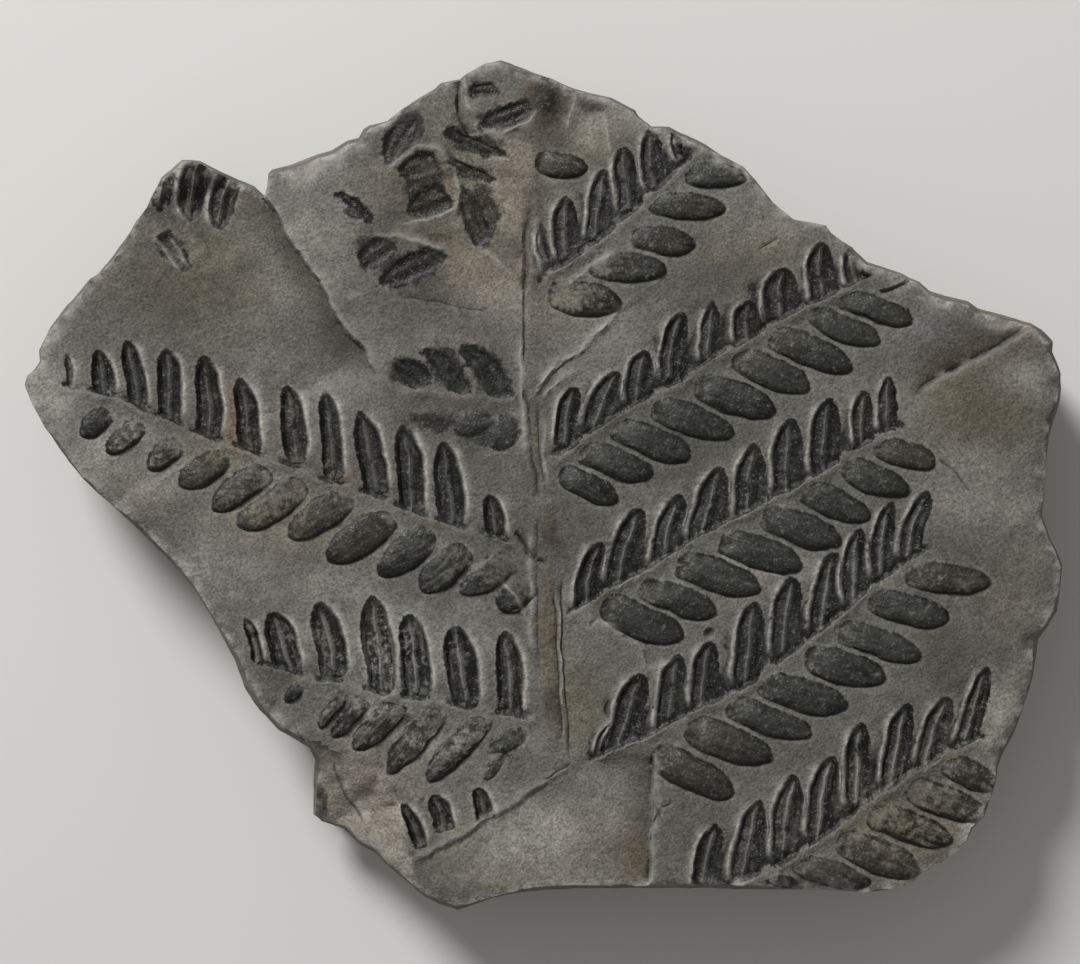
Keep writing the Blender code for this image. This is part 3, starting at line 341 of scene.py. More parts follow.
# Torn leaflets with a weak relief, at the top of the frond and on the upper left stalk.
TORN_TROUGHS = (
    (49.7, 8.6, 46.6, 9.0, 1.5), (53.0, 10.4, 47.6, 12.5, 2.4), (41.0, 11.2, 38.5, 16.2, 2.3),
    (43.6, 15.8, 40.0, 17.2, 3.0), (44.8, 19.4, 40.8, 20.9, 3.3), (44.6, 12.9, 50.5, 15.7, 1.5),
    (44.9, 15.9, 49.3, 18.3, 1.4), (48.5, 24.4, 46.2, 18.8, 2.7), (33.9, 19.2, 37.0, 22.0, 1.3),
    (39.0, 24.0, 36.0, 26.4, 2.8), (44.0, 25.1, 38.0, 28.3, 2.8),
    (15.8, 23.4, 18.7, 27.0, 2.0),
    (42.8, 38.6, 39.6, 35.9, 2.9), (46.8, 39.4, 42.7, 34.7, 2.6), (51.0, 40.2, 46.6, 34.4, 3.0),
)
TORN_PILLOWS = (
    (49.0, 41.6, 45.4, 43.0, 2.6), (51.6, 41.8, 49.2, 44.8, 3.0), (52.3, 73.2, 48.8, 75.4, 1.9),
    (49.9, 75.6, 48.6, 78.0, 1.4),
)

# Ledges where one layer of the slate has come away: the low side is on the right-hand side of
# the line. Points, depth, width of the step and how far the low side takes to come level again.
LEDGES = (
    (((24.6, 15.2), (26.4, 19.3), (27.8, 21.2), (29.1, 23.6), (30.6, 26.0), (32.5, 28.6),
      (33.7, 31.5), (35.0, 33.4), (36.6, 34.9), (37.4, 36.6), (38.4, 39.6)), 0.95, 0.45, 26.0),
    (((106.5, 30.4), (103.2, 32.6), (100.9, 34.2), (98.8, 35.5), (96.9, 36.4), (95.2, 37.4),
      (93.1, 38.4), (91.4, 39.8)), 0.60, 0.30, 3.4),
    (((65.5, 75.2), (65.6, 78.8), (65.3, 82.0), (64.9, 91.0)), 0.50, 0.35, 7.0),
    (((64.9, 67.2), (64.1, 65.1), (63.5, 64.2), (62.2, 63.6), (61.4, 62.5), (58.6, 62.1)),
     0.30, 0.25, 3.5),
    (((41.0, 86.4), (47.5, 82.8), (54.0, 78.8), (55.3, 77.7), (57.0, 76.4)), 0.35, 0.40, 22.0),
    (((52.6, 40.2), (56.0, 36.2), (60.0, 33.0), (62.3, 30.7), (65.8, 28.3)), 0.18, 0.30, 6.0),
)
# Cracks: points, depth, half width.
CRACKS = (
    (((46.2, 6.4), (45.8, 9.0), (45.7, 10.5), (46.0, 12.0), (46.8, 13.0), (47.6, 13.3)), 0.45, 0.28),
    (((51.6, 53.2), (53.1, 55.2), (54.8, 56.8)), 0.50, 0.40),
    (((87.9, 29.2), (89.0, 28.9), (90.5, 28.4), (91.9, 27.8)), 0.45, 0.28),
)
# Fine dark lines, some of them painted shadow at the foot of steps and below a pillow's edge: points, depth
# and half width.
FINE_LINES = (
    (((52.9, 20.6), (52.6, 24.0), (52.4, 29.5)), 0.34, 0.42),
    (((52.4, 27.0), (52.4, 32.0), (52.5, 36.5)), 0.20, 0.18),
    (((52.5, 38.6), (52.9, 40.4), (53.3, 46.0), (53.9, 50.5)), 0.24, 0.24),
    (((53.9, 40.4), (53.9, 44.0), (54.3, 48.5)), 0.12, 0.14),
    (((53.9, 51.5), (53.7, 56.0), (53.8, 62.0), (53.9, 68.0)), 0.10, 0.14),
    (((56.3, 57.2), (56.2, 62.0), (56.4, 68.0), (56.9, 73.5), (57.0, 76.4)), 0.20, 0.17),
    (((55.6, 58.5), (55.7, 64.5), (55.9, 70.0), (56.4, 74.5)), 0.14, 0.14),
    (((57.0, 76.3), (56.0, 77.1), (54.5, 78.2)), 0.20, 0.18),
    (((52.4, 38.6), (52.5, 39.8), (54.8, 38.0), (57.5, 35.4)), 0.16, 0.16),
    (((75.7, 25.0), (77.8, 23.7)), 0.10, 0.12),
    (((39.5, 29.6), (44.0, 30.1), (49.0, 31.2)), 0.07, 0.12),
    (((94.0, 45.8), (95.8, 47.2), (97.2, 49.3)), 0.14, 0.16),
    (((66.0, 80.8), (67.5, 80.3)), 0.12, 0.14),
    (((103.9, 32.0), (100.8, 34.0), (98.7, 35.3), (96.8, 36.2), (95.1, 37.2), (93.0, 38.2),
      (90.9, 39.7)), 0.18, 0.36),
    (((65.1, 74.6), (65.3, 77.5), (65.5, 80.5), (65.3, 84.0), (64.9, 89.0)), 0.26, 0.30),
    (((29.3, 72.2), (30.5, 75.0)), 0.14, 0.18),
    (((49.8, 61.6), (52.0, 60.8), (54.0, 59.3)), 0.16, 0.20),
    (((49.6, 71.1), (51.5, 71.2), (53.4, 71.6)), 0.18, 0.24),
    (((33.2, 76.2), (34.0, 79.0), (36.2, 83.0)), 0.22, 0.26),
)
# Fine ridges, their crests painted pale as a highlight: points, height and half width.
FINE_RIDGES = (
    (((38.2, 17.2), (40.1, 15.7), (41.9, 14.4), (43.7, 14.7), (45.2, 16.2)), 0.14, 0.22),
    (((39.7, 22.6), (42.1, 22.1), (44.6, 21.4), (45.6, 20.8), (46.0, 19.2), (45.4, 16.0)), 0.18, 0.20),
    (((37.0, 23.3), (40.0, 23.7), (43.1, 24.5), (45.2, 25.4)), 0.12, 0.18),
    (((47.8, 25.1), (49.7, 25.9), (51.3, 27.4)), 0.10, 0.16),
    (((47.6, 13.0), (50.5, 13.1), (53.0, 12.2), (54.0, 10.6)), 0.14, 0.20),
    (((46.4, 7.2), (46.6, 10.0), (47.5, 11.4)), 0.12, 0.20),
    (((57.8, 9.0), (57.0, 11.5), (56.6, 13.2)), 0.12, 0.18),
    (((60.5, 11.0), (60.8, 13.5), (61.2, 15.5)), 0.10, 0.18),
    (((52.7, 39.8), (54.4, 38.0), (56.6, 36.2), (59.6, 33.5), (62.6, 31.0)), 0.20, 0.24),
    (((53.9, 40.2), (55.6, 38.6), (57.6, 36.9)), 0.16, 0.20),
    (((52.0, 33.0), (52.1, 38.0), (52.3, 41.0), (52.6, 46.0)), 0.14, 0.20),
    (((54.4, 41.5), (54.5, 45.0), (54.8, 48.5)), 0.12, 0.20),
    (((56.3, 28.4), (58.6, 26.9), (62.0, 24.6)), 0.12, 0.22),
    (((53.8, 21.4), (53.8, 25.0), (54.1, 28.2)), 0.20, 0.34),
    (((56.0, 58.0), (56.0, 64.0), (56.2, 70.0), (56.7, 75.0)), 0.12, 0.16),
    (((53.3, 52.0), (53.1, 58.0), (53.2, 66.0)), 0.10, 0.22),
    (((15.2, 23.4), (16.8, 25.5), (18.2, 27.2)), 0.12, 0.18),
    (((16.6, 23.4), (17.9, 25.2), (18.8, 26.8)), 0.12, 0.16),
    (((33.6, 77.3), (35.4, 80.6), (37.6, 84.6)), 0.14, 0.24),
    (((49.6, 57.6), (51.4, 59.5), (53.0, 62.4)), 0.10, 0.18),
)
# The broad chipped corner falls away on the right-hand side of this line.
CORNER_BREAK = (
    (18.0, 73.0), (28.0, 73.6), (30.4, 74.4), (34.5, 75.4), (38.5, 77.4), (39.9, 80.0),
    (40.8, 83.4), (41.1, 85.5), (41.8, 88.4), (43.6, 92.4),
)
# A round pit beside the fourth stalk.
PIT = (71.0, 63.4)
PIT_RADIUS = 0.62
PIT_DEPTH = 0.50
# Part of a line's length over which it comes up from nothing.
STALK_FADE = 0.05
LEDGE_RISE = 0.08
LEDGE_FADE = 0.2
CRACK_FADE = 0.1
RIDGE_FADE = 0.2

# Forms of a leaflet: how blunt its outline is at its foot and its tip, how far its widest place
# lies towards the foot, how far its middle line bows, and how its height runs across and along it.
PILLOW_BLUNTNESS = (2.9, 1.9)
TROUGH_BLUNTNESS = (4.5, 1.9)
PILLOW_SKEW = 0.95
TROUGH_SKEW = 0.85
BOW = 0.22
DOME_POWER = 2.4
FOOT_PART = 0.35  # a pillow reaches its full height this far along
WALL_PART = 0.28  # a trough's walls take this part of its half width
STALK_BAND = (0.12, 0.42)  # from a stalk's middle line to where its leaflets begin and are full
FOOT_REACH = (1.6, 2.0)  # leaflets further than this from a stalk aren't cut off by it

# Marks that every point carries for the finish, beside the soft patches: distance to the nearest
# leaflet's outline, its place on that leaflet and the leaflet's kind, then nearness to each form.
MARK_NAMES = (
    "gap", "part", "side", "hollow", "tone", "torn", "under", "rim", "rib", "shaded_web", "groove", "stalk",
    "ledge", "ledge_shade", "crack", "crest", "pit", "broken", "edge", "chip", "wall", "layer",
)

# Colours of the finish, as red, green, blue and opacity.
SLATE_GREY = (0.104, 0.099, 0.086, 1.0)
SLATE_OLIVE = (0.112, 0.100, 0.070, 1.0)
SLATE_COOL = (0.135, 0.135, 0.128, 1.0)
SLATE_PALE = (0.225, 0.215, 0.190, 1.0)
SLATE_PINK = (0.180, 0.145, 0.115, 1.0)
RUST = (0.140, 0.090, 0.053, 1.0)
FILM_DARK = (0.019, 0.019, 0.016, 1.0)
FILM_BROWN = (0.034, 0.028, 0.017, 1.0)
FILM_LINE_SPACING = 0.55  # between lengthwise streaks of the film, in millimetres
MICA_CELLS = 5.5  # across a millimetre
RIB_GREY = (0.175, 0.171, 0.152, 1.0)
# painted highlight on trough rims, crests of fine ridges and ledge edges
PALE_HIGHLIGHT = (0.300, 0.293, 0.262, 1.0)
STALK_BROWN = (0.155, 0.142, 0.115, 1.0)
BROWN = (0.096, 0.080, 0.056, 1.0)
# near black of cracks, partly their own dark fill and partly painted shade, and of the painted shadow lines
# and the pit
CRACK_AND_SHADE_BLACK = (0.010, 0.010, 0.009, 1.0)
CHIP_PALE = (0.260, 0.255, 0.235, 1.0)
SIDE_GREY = (0.100, 0.098, 0.092, 1.0)
SIDE_BROWN = (0.120, 0.098, 0.072, 1.0)
LAYER_BROWN = (0.135, 0.118, 0.090, 1.0)
# pale beige of the chipped corner, raised further as painted light on its slope, which faces away from the
# lamp
BREAK_BEIGE_LIT = (0.262, 0.236, 0.198, 1.0)
# painted glint of mica flakes, partly their own pale colour
MICA_GLINT = (0.500, 0.500, 0.480, 1.0)

# How strongly each layer of the finish covers what lies below it.
COVER = {
    "cool": 0.8, "rust": 0.75, "brown": 0.8, "broken": 0.85, "ledge_shade": 0.7, "shade": 0.6,
    "speck": 0.35, "stripe": 0.5, "rib": 0.35, "ribbed": 0.6, "shaded_web": 0.95, "soot_and_shadow": 0.9,
    "beside": 0.2, "stalk": 0.25, "under": 0.85, "crest": 0.6, "crack": 0.75, "pit": 0.6,
    "ledge": 0.9, "edge": 0.8, "chip": 0.35, "layer": 0.3, "mica": 0.4,
}
# Noise that the parts of the finish share: size in millimetres, detail and roughness.
NOISES = {
    "dust": (0.28, 1.0, 0.6), "grit": (0.6, 2.0, 0.65), "flecks": (1.3, 3.0, 0.65),
    "mottle": (3.6, 4.0, 0.65), "clouds": (11.0, 3.0, 0.55),
}
FIBRES = (4.5, 0.4, 1.0)  # per millimetre along each axis
FIBRE_NOISE = (1.0, 3.0, 0.6)
LAYERS = (0.12, 0.12, 2.2)  # per millimetre along each axis
LAYER_NOISE = (1.0, 4.0, 0.65)
# Layers with uneven edges: the noises added to each, and the values where it begins and is full.
PATCHY = {
    "olive": ({"mottle": 0.5}, 0.0, 0.9),
    "cool": ({"mottle": 0.4, "clouds": 2.0}, 0.1, 1.0),
    "rust": ({"flecks": 1.3, "mottle": 0.8}, 0.2, 1.0),
    "brown": ({"fibres": 1.2}, 0.3, 0.8),
    "stripe": ({"flecks": 0.4}, 0.0, 0.15),
    "shaded_web": ({"flecks": 0.9, "grit": 0.6}, 0.15, 0.7),
    "thin": ({"flecks": 1.6, "grit": 1.4}, 0.3, 0.95),
    "soot_and_shadow": ({"flecks": 1.3, "mottle": 0.9}, 0.35, 0.75),
    "layer": ({"mottle": 0.3}, 0.2, 0.8),
}
# Layers broken up by one noise, and its values between which they come up.
BROKEN_UP = {
    "rib": ("flecks", 0.32, 0.5), "stalk": ("flecks", 0.3, 0.6), "rim": ("flecks", 0.25, 0.42),
    "edge": ("flecks", 0.4, 0.6), "chip": ("mottle", 0.4, 0.65), "side": ("mottle", 0.4, 0.65),
}
# Lightness that follows a noise: its least value and its change.
VARIED = (0.4, 1.2)
RIM_VARIED = (0.2, 1.6)
STRIPE_VARIED = (0.4, 1.0)
# Lightness of the slate: strengths of its noises.
SLATE_CLOUDS = {"clouds": 1.1}
SLATE_GRAIN = {"grit": 0.7, "dust": 1.5}
SLATE_FLECKS = 0.5  # beside the mottle
UNREST = (0.8, 1.6, 0.4)  # of plain slate, what mixed patches add and what the chipped corner lacks
SIDE_GRAIN = {"grit": 1.2}
SIDE_LAYERING = 1.8
# Lightness of the leaf film: strengths of its noises, and what its forms add or take away.
FILM_GRAIN = {"grit": 2.0, "dust": 2.0, "flecks": 1.6}
FILM_STREAKS = 3.2
FILM_TONE = 0.25  # how much lighter or darker whole leaflets are
FILM_FOOT = 0.7  # lighter foot of a pillow
TROUGH_SHADE = 0.45  # painted shade: the film of sunken troughs is darker
STREAK_PLACES = (1.8, 9.0)  # along a leaflet, and from one leaflet to the next
MIDDLE_LIGHT = (0.6, 0.5)  # of the film at its edge, and what its middle adds
MIDDLE_GAPS = (-0.15, -0.8)  # distances inside the outline over which the middle comes up
SPECK_DUST = 0.8  # dust beside the grit
SPECK_SPAN = (1.02, 1.2)  # values of both between which specks come up
RIB_SPAN = (0.2, 0.85)
# Where the film lies, in millimetres from a leaflet's outline.
RAGGED = 0.35  # how far the film's edge wanders
TORN_RAGGED = 1.4  # further on torn leaflets
TORN_SPREAD = 0.6  # torn leaflets have a softer edge
HOLLOW_SPREAD = 0.1  # the film of troughs reaches this much further
FILM_EDGE = (-0.12, 0.05)
THIN_FOOT = (0.0, 0.45)  # parts of a pillow's length
FOOT_THINNESS = 0.5
CENTRE_THINNESS = (0.5, 0.8)  # at the film's edge, and what its middle adds
CENTRE_GAPS = (-0.15, -0.6)
BESIDE_BAND = ((0.0, 0.12), (0.2, 0.6))  # pale slate outside a leaflet's outline
SHADOW_LINE_BAND = ((-0.26, -0.12), (0.0, 0.1))  # painted shadow: the dark line along a pillow's lower side, which faces away from the lamp
MICA_SIZE = (0.14, 0.36)
MICA_CHANCE = (0.92, 1.0)
LEAST_LIGHT = (0.25, 0.2)  # darkest factors of the slate and of the film
ROUGHNESS = 0.74
FILM_SHINE = 0.2
MICA_SHINE = 0.25
ROUGHNESS_CHANGE = {"flecks": 0.3}
SPECULAR = 0.3
# The finish's own relief, in millimetres.
DUST_HEIGHT = 0.07
GRIT_HEIGHT = 0.05
FLECK_HEIGHT = 0.09
LAYER_HEIGHT = 0.10

# The map for baking: the face takes most of it, with the underside and the sides below.
CENTRE = 0.5 * (np.array(OUTLINE).min(axis=0) + np.array(OUTLINE).max(axis=0))
OUTLINE_SIZE = np.array(OUTLINE).max(axis=0) - np.array(OUTLINE).min(axis=0)
FACE_MAP_CORNER = (0.01, 0.255)
FACE_MAP_SCALE = 0.90 / OUTLINE_SIZE[0]
BACK_MAP_CORNER = (0.01, 0.012)
BACK_MAP_SCALE = 0.27 / OUTLINE_SIZE[0]
SIDE_MAP_CORNER = (0.30, 0.012)
SIDE_MAP_WIDTH = 0.68
SIDE_MAP_HEIGHT = 0.105
SIDE_MAP_STEP = 0.118
SIDE_STRIPS = 2

# Floor, light and camera. The view is given in millimetres on the drawing sheet.
FLOOR_WIDTH = 3.0  # metres
FLOOR_COLOUR = (0.60, 0.59, 0.57, 1.0)
FLOOR_ROUGHNESS = 0.9
LAMP_SIZE = 0.30
LAMP_POWER = 10.5
LAMP_TURN = 122.0
LAMP_RISE = 35.0
LAMP_DISTANCE = 0.9
FILL_COLOUR = (1.0, 0.985, 0.955, 1.0)
FILL_STRENGTH = 0.30
LENS = 90.0
SENSOR_WIDTH = 36.0
CLIP_START = 0.01
VIEW_WIDTH = 108.0
VIEW_CENTRE = (54.0, 48.2)

# Soft patches of the face: x, y, half width, half height and strength.
PATCHES = {
    "olive": (
        (20.0, 27.0, 12.0, 8.0, 0.6), (46.0, 20.0, 9.0, 9.0, 0.9), (60.0, 13.5, 5.0, 3.0, 0.8),
        (75.0, 25.0, 7.0, 4.0, 0.7), (98.0, 40.0, 7.0, 7.0, 0.8), (52.0, 85.0, 12.0, 5.0, 0.8),
        (92.0, 83.0, 9.0, 6.0, 0.7), (58.0, 70.0, 3.0, 6.0, 0.6), (13.0, 51.0, 8.0, 5.0, 0.5),
        (36.0, 80.0, 6.0, 5.0, 0.4), (28.0, 52.0, 8.0, 5.0, 0.6), (22.0, 45.0, 7.0, 3.0, 0.5),
        (55.0, 30.0, 5.0, 5.0, 0.4), (101.0, 58.0, 5.0, 9.0, 0.4), (100.2, 72.5, 3.0, 4.0, 0.8),
    ),
    "rust": (
        (23.2, 41.4, 1.4, 4.0, 1.15), (34.8, 47.5, 1.0, 1.0, 0.7), (43.0, 52.3, 1.0, 1.0, 0.6),
        (60.8, 40.8, 1.2, 1.0, 0.8), (44.6, 18.3, 1.2, 1.6, 0.8), (96.0, 75.0, 1.0, 1.3, 0.7),
        (54.9, 66.0, 0.9, 5.0, 0.3), (54.5, 10.0, 2.4, 3.4, 1.0), (63.5, 85.5, 1.8, 3.5, 0.7),
        (54.6, 72.1, 0.8, 1.0, 0.4), (34.0, 79.5, 2.5, 3.0, 0.2), (24.5, 20.0, 1.5, 1.0, 0.4),
        (57.0, 42.6, 1.5, 1.2, 0.5), (102.5, 32.8, 1.6, 1.0, 0.4),
    ),
    "pale": (
        (30.0, 26.0, 5.0, 9.0, 0.45), (4.5, 39.0, 3.0, 4.0, 1.0), (9.0, 45.0, 3.5, 3.0, 0.5),
        (20.0, 15.9, 4.0, 0.7, 1.0), (75.0, 22.0, 6.0, 4.0, 0.4), (25.0, 41.0, 1.1, 3.2, 0.7),
        (62.0, 12.0, 5.0, 2.0, 0.5), (36.0, 63.0, 12.0, 3.0, 0.35), (42.0, 75.0, 6.0, 4.0, 0.4),
        (88.7, 39.5, 1.0, 1.6, 0.6), (34.0, 84.0, 4.0, 3.0, 0.5), (98.0, 50.0, 5.0, 4.0, 0.45),
        (78.0, 57.0, 12.0, 2.0, 0.3), (60.0, 35.0, 4.0, 3.0, 0.3), (20.5, 56.0, 5.0, 3.5, 0.5),
        (33.0, 58.5, 5.0, 2.0, 0.5), (60.0, 82.0, 6.0, 3.0, 0.35), (15.0, 48.0, 5.0, 3.0, 0.35),
        (58.5, 12.5, 3.0, 2.0, 0.6), (48.0, 18.0, 4.0, 5.0, 0.4), (39.0, 63.5, 9.0, 3.0, 0.5),
        (52.0, 84.0, 8.0, 4.5, 0.9), (97.0, 47.0, 5.0, 3.0, 0.5), (100.2, 72.5, 2.4, 3.6, 1.0),
        (97.6, 82.5, 1.6, 1.6, 1.2), (93.0, 87.6, 3.0, 1.0, 1.0), (102.5, 38.0, 3.5, 2.0, 0.6),
    ),
    "cool": (
        (93.0, 33.0, 4.0, 2.0, 0.9), (42.0, 65.0, 14.0, 6.0, 0.7), (25.0, 60.0, 4.0, 6.0, 0.5),
        (48.0, 47.0, 5.0, 6.0, 0.5), (70.0, 48.0, 14.0, 5.0, 0.4), (33.0, 36.0, 5.0, 5.0, 0.5),
    ),
    "shade": (
        (54.7, 10.2, 3.2, 3.4, 1.1), (90.0, 52.0, 4.0, 3.0, 0.4), (75.0, 27.5, 6.0, 3.0, 0.3),
        (97.5, 39.0, 4.0, 3.0, 0.4), (83.0, 80.0, 6.0, 4.0, 0.3), (30.0, 33.0, 4.0, 4.0, 0.3),
        (55.1, 53.5, 1.3, 3.0, 0.6), (55.0, 70.5, 1.0, 2.0, 0.7), (58.0, 52.0, 3.0, 4.0, 0.3),
        (43.0, 20.0, 3.0, 5.0, 0.5), (18.0, 30.0, 7.0, 5.0, 0.6),
        (98.0, 42.0, 6.0, 5.0, 0.5), (95.0, 66.0, 4.0, 4.0, 0.5), (51.0, 48.0, 5.0, 4.0, 0.35),
        (41.0, 28.0, 4.0, 4.0, 0.6), (71.0, 44.0, 10.0, 3.0, 0.5), (70.0, 84.0, 4.0, 3.0, 0.3),
    ),
    "mixed": (
        (46.0, 19.0, 11.0, 11.0, 1.0), (19.0, 22.0, 6.0, 6.0, 0.7), (40.0, 72.0, 9.0, 4.0, 0.5),
        (36.0, 80.0, 5.0, 6.0, 0.3), (48.0, 41.0, 8.0, 4.0, 0.6), (56.0, 52.0, 4.0, 8.0, 0.5),
        (95.0, 78.0, 8.0, 6.0, 0.4), (72.0, 32.0, 5.0, 4.0, 0.4),
    ),
    "pink": (
        (102.5, 32.8, 1.8, 1.0, 0.8), (36.0, 81.0, 4.0, 6.0, 0.25), (50.0, 27.5, 4.0, 2.5, 0.5),
        (51.3, 18.0, 2.2, 4.5, 0.6),
    ),
    "bare": (
        (57.0, 29.5, 4.5, 2.5, 0.55), (61.5, 26.5, 3.5, 2.0, 0.45), (50.0, 57.5, 4.0, 2.5, 0.5),
        (46.0, 57.0, 3.0, 2.0, 0.35), (44.0, 74.0, 8.0, 4.0, 0.45), (92.0, 81.0, 8.0, 6.0, 0.5),
        (14.0, 45.5, 8.0, 3.5, 0.45), (27.0, 50.5, 5.0, 3.5, 0.5), (95.0, 59.0, 4.0, 3.0, 0.25),
        (93.0, 69.0, 6.0, 4.0, 0.25),
        (17.4, 25.6, 1.8, 2.0, 0.7), (41.0, 17.0, 4.0, 5.0, 0.35), (76.0, 85.0, 6.0, 4.0, 0.35),
        (35.0, 70.5, 5.0, 2.0, 0.4), (39.0, 65.0, 15.0, 5.0, 0.3),
    ),
    "soot_and_shadow": (
        (40.4, 13.5, 2.0, 3.0, 1.3), (42.2, 18.3, 1.9, 3.4, 1.6), (47.7, 14.3, 3.0, 1.0, 1.1),
        (47.0, 17.2, 2.4, 1.1, 1.1), (48.0, 21.4, 1.9, 2.8, 1.4), (37.3, 25.0, 1.8, 1.8, 1.3),
        (40.7, 26.8, 2.9, 1.6, 1.3), (48.0, 8.7, 1.3, 0.8, 1.4), (50.3, 11.5, 2.6, 1.1, 1.3),
        (59.3, 10.4, 1.7, 1.0, 1.1), (55.0, 9.8, 2.2, 2.9, 0.75), (19.5, 18.4, 3.6, 1.6, 0.8),
        (17.0, 24.3, 1.6, 1.5, 0.8),
        (40.6, 37.0, 2.0, 1.5, 1.1), (44.5, 36.6, 1.6, 2.3, 1.3), (49.0, 37.2, 1.6, 2.5, 1.3),
        (43.0, 42.2, 4.5, 1.3, 0.8), (48.2, 43.0, 3.0, 1.6, 1.1), (73.2, 32.0, 1.8, 1.6, 1.1),
        (76.6, 29.6, 2.0, 2.2, 1.3), (49.8, 52.3, 1.7, 1.8, 1.1), (60.5, 74.5, 1.5, 1.5, 1.0),
        (43.5, 82.0, 3.0, 2.0, 0.6), (35.7, 21.2, 1.6, 0.7, 1.3), (54.0, 24.5, 1.0, 2.6, 1.3),
        # the first patch on the next line is painted shadow in a hollow of the chipped corner
        (31.6, 80.6, 1.0, 3.0, 1.1), (40.0, 72.0, 6.0, 1.3, 0.6), (65.5, 81.5, 0.45, 1.6, 1.0),
    ),
    "brown": (
        (54.8, 63.5, 1.0, 6.5, 1.5), (53.4, 44.5, 0.45, 5.0, 0.8), (55.1, 70.5, 0.9, 2.6, 1.2),
        (55.2, 10.2, 2.6, 3.6, 1.6), (59.3, 10.4, 1.6, 1.2, 0.8), (51.5, 10.0, 4.0, 2.2, 0.45),
        (55.0, 52.8, 1.2, 3.2, 0.8), (62.5, 86.0, 1.8, 3.4, 0.5), (33.0, 78.5, 3.0, 3.0, 0.4),
        (76.0, 33.5, 3.0, 2.5, 0.35), (28.0, 45.0, 8.0, 2.0, 0.3), (70.0, 76.0, 5.0, 3.0, 0.25),
    ),
    "ribbed": (
        (86.0, 78.0, 14.0, 7.0, 1.0), (84.0, 58.0, 9.0, 6.0, 0.5), (68.0, 52.0, 12.0, 6.0, 0.3),
        (39.0, 65.5, 15.0, 5.0, 1.0),
    ),
    "striped": (
        (40.0, 73.5, 10.0, 5.0, 1.2), (92.0, 82.0, 9.0, 6.0, 0.9), (46.0, 57.0, 6.0, 3.0, 0.9),
        (24.0, 50.0, 9.0, 5.0, 0.4), (19.0, 19.5, 4.0, 3.0, 0.7),
        (39.0, 65.5, 15.0, 5.0, 0.6), (62.0, 18.0, 8.0, 6.0, 0.3),
    ),
}


class Unevenness:
    """Smooth random heights round zero over a plane."""

    CELLS = 128  # the heights repeat after this many

    def __init__(self, seed):
        self.lattice = np.random.default_rng(seed).uniform(-1.0, 1.0, (self.CELLS, self.CELLS))

    def single(self, x, y):
        """One layer, with a random height at each whole number."""
        column = np.floor(x).astype(int)
        row = np.floor(y).astype(int)
        across = smooth(x - column, 0.0, 1.0)
        down = smooth(y - row, 0.0, 1.0)
        left = column % self.CELLS
        right = (column + 1) % self.CELLS
        upper = row % self.CELLS
        lower = (row + 1) % self.CELLS
        top = self.lattice[upper, left] * (1.0 - across) + self.lattice[upper, right] * across
        bottom = self.lattice[lower, left] * (1.0 - across) + self.lattice[lower, right] * across
        return top * (1.0 - down) + bottom * down

    def at(self, x, y, size, layers=3):
        """Several layers, each half the size and half the height of the one before."""
        total = np.zeros(np.shape(x))
        for layer in range(layers):
            scale = size * 0.5 ** layer
            shifted_x = x / scale + LAYER_SHIFT[0] * layer
            shifted_y = y / scale + LAYER_SHIFT[1] * layer
            total += 0.5 ** layer * self.single(shifted_x, shifted_y)
        return total


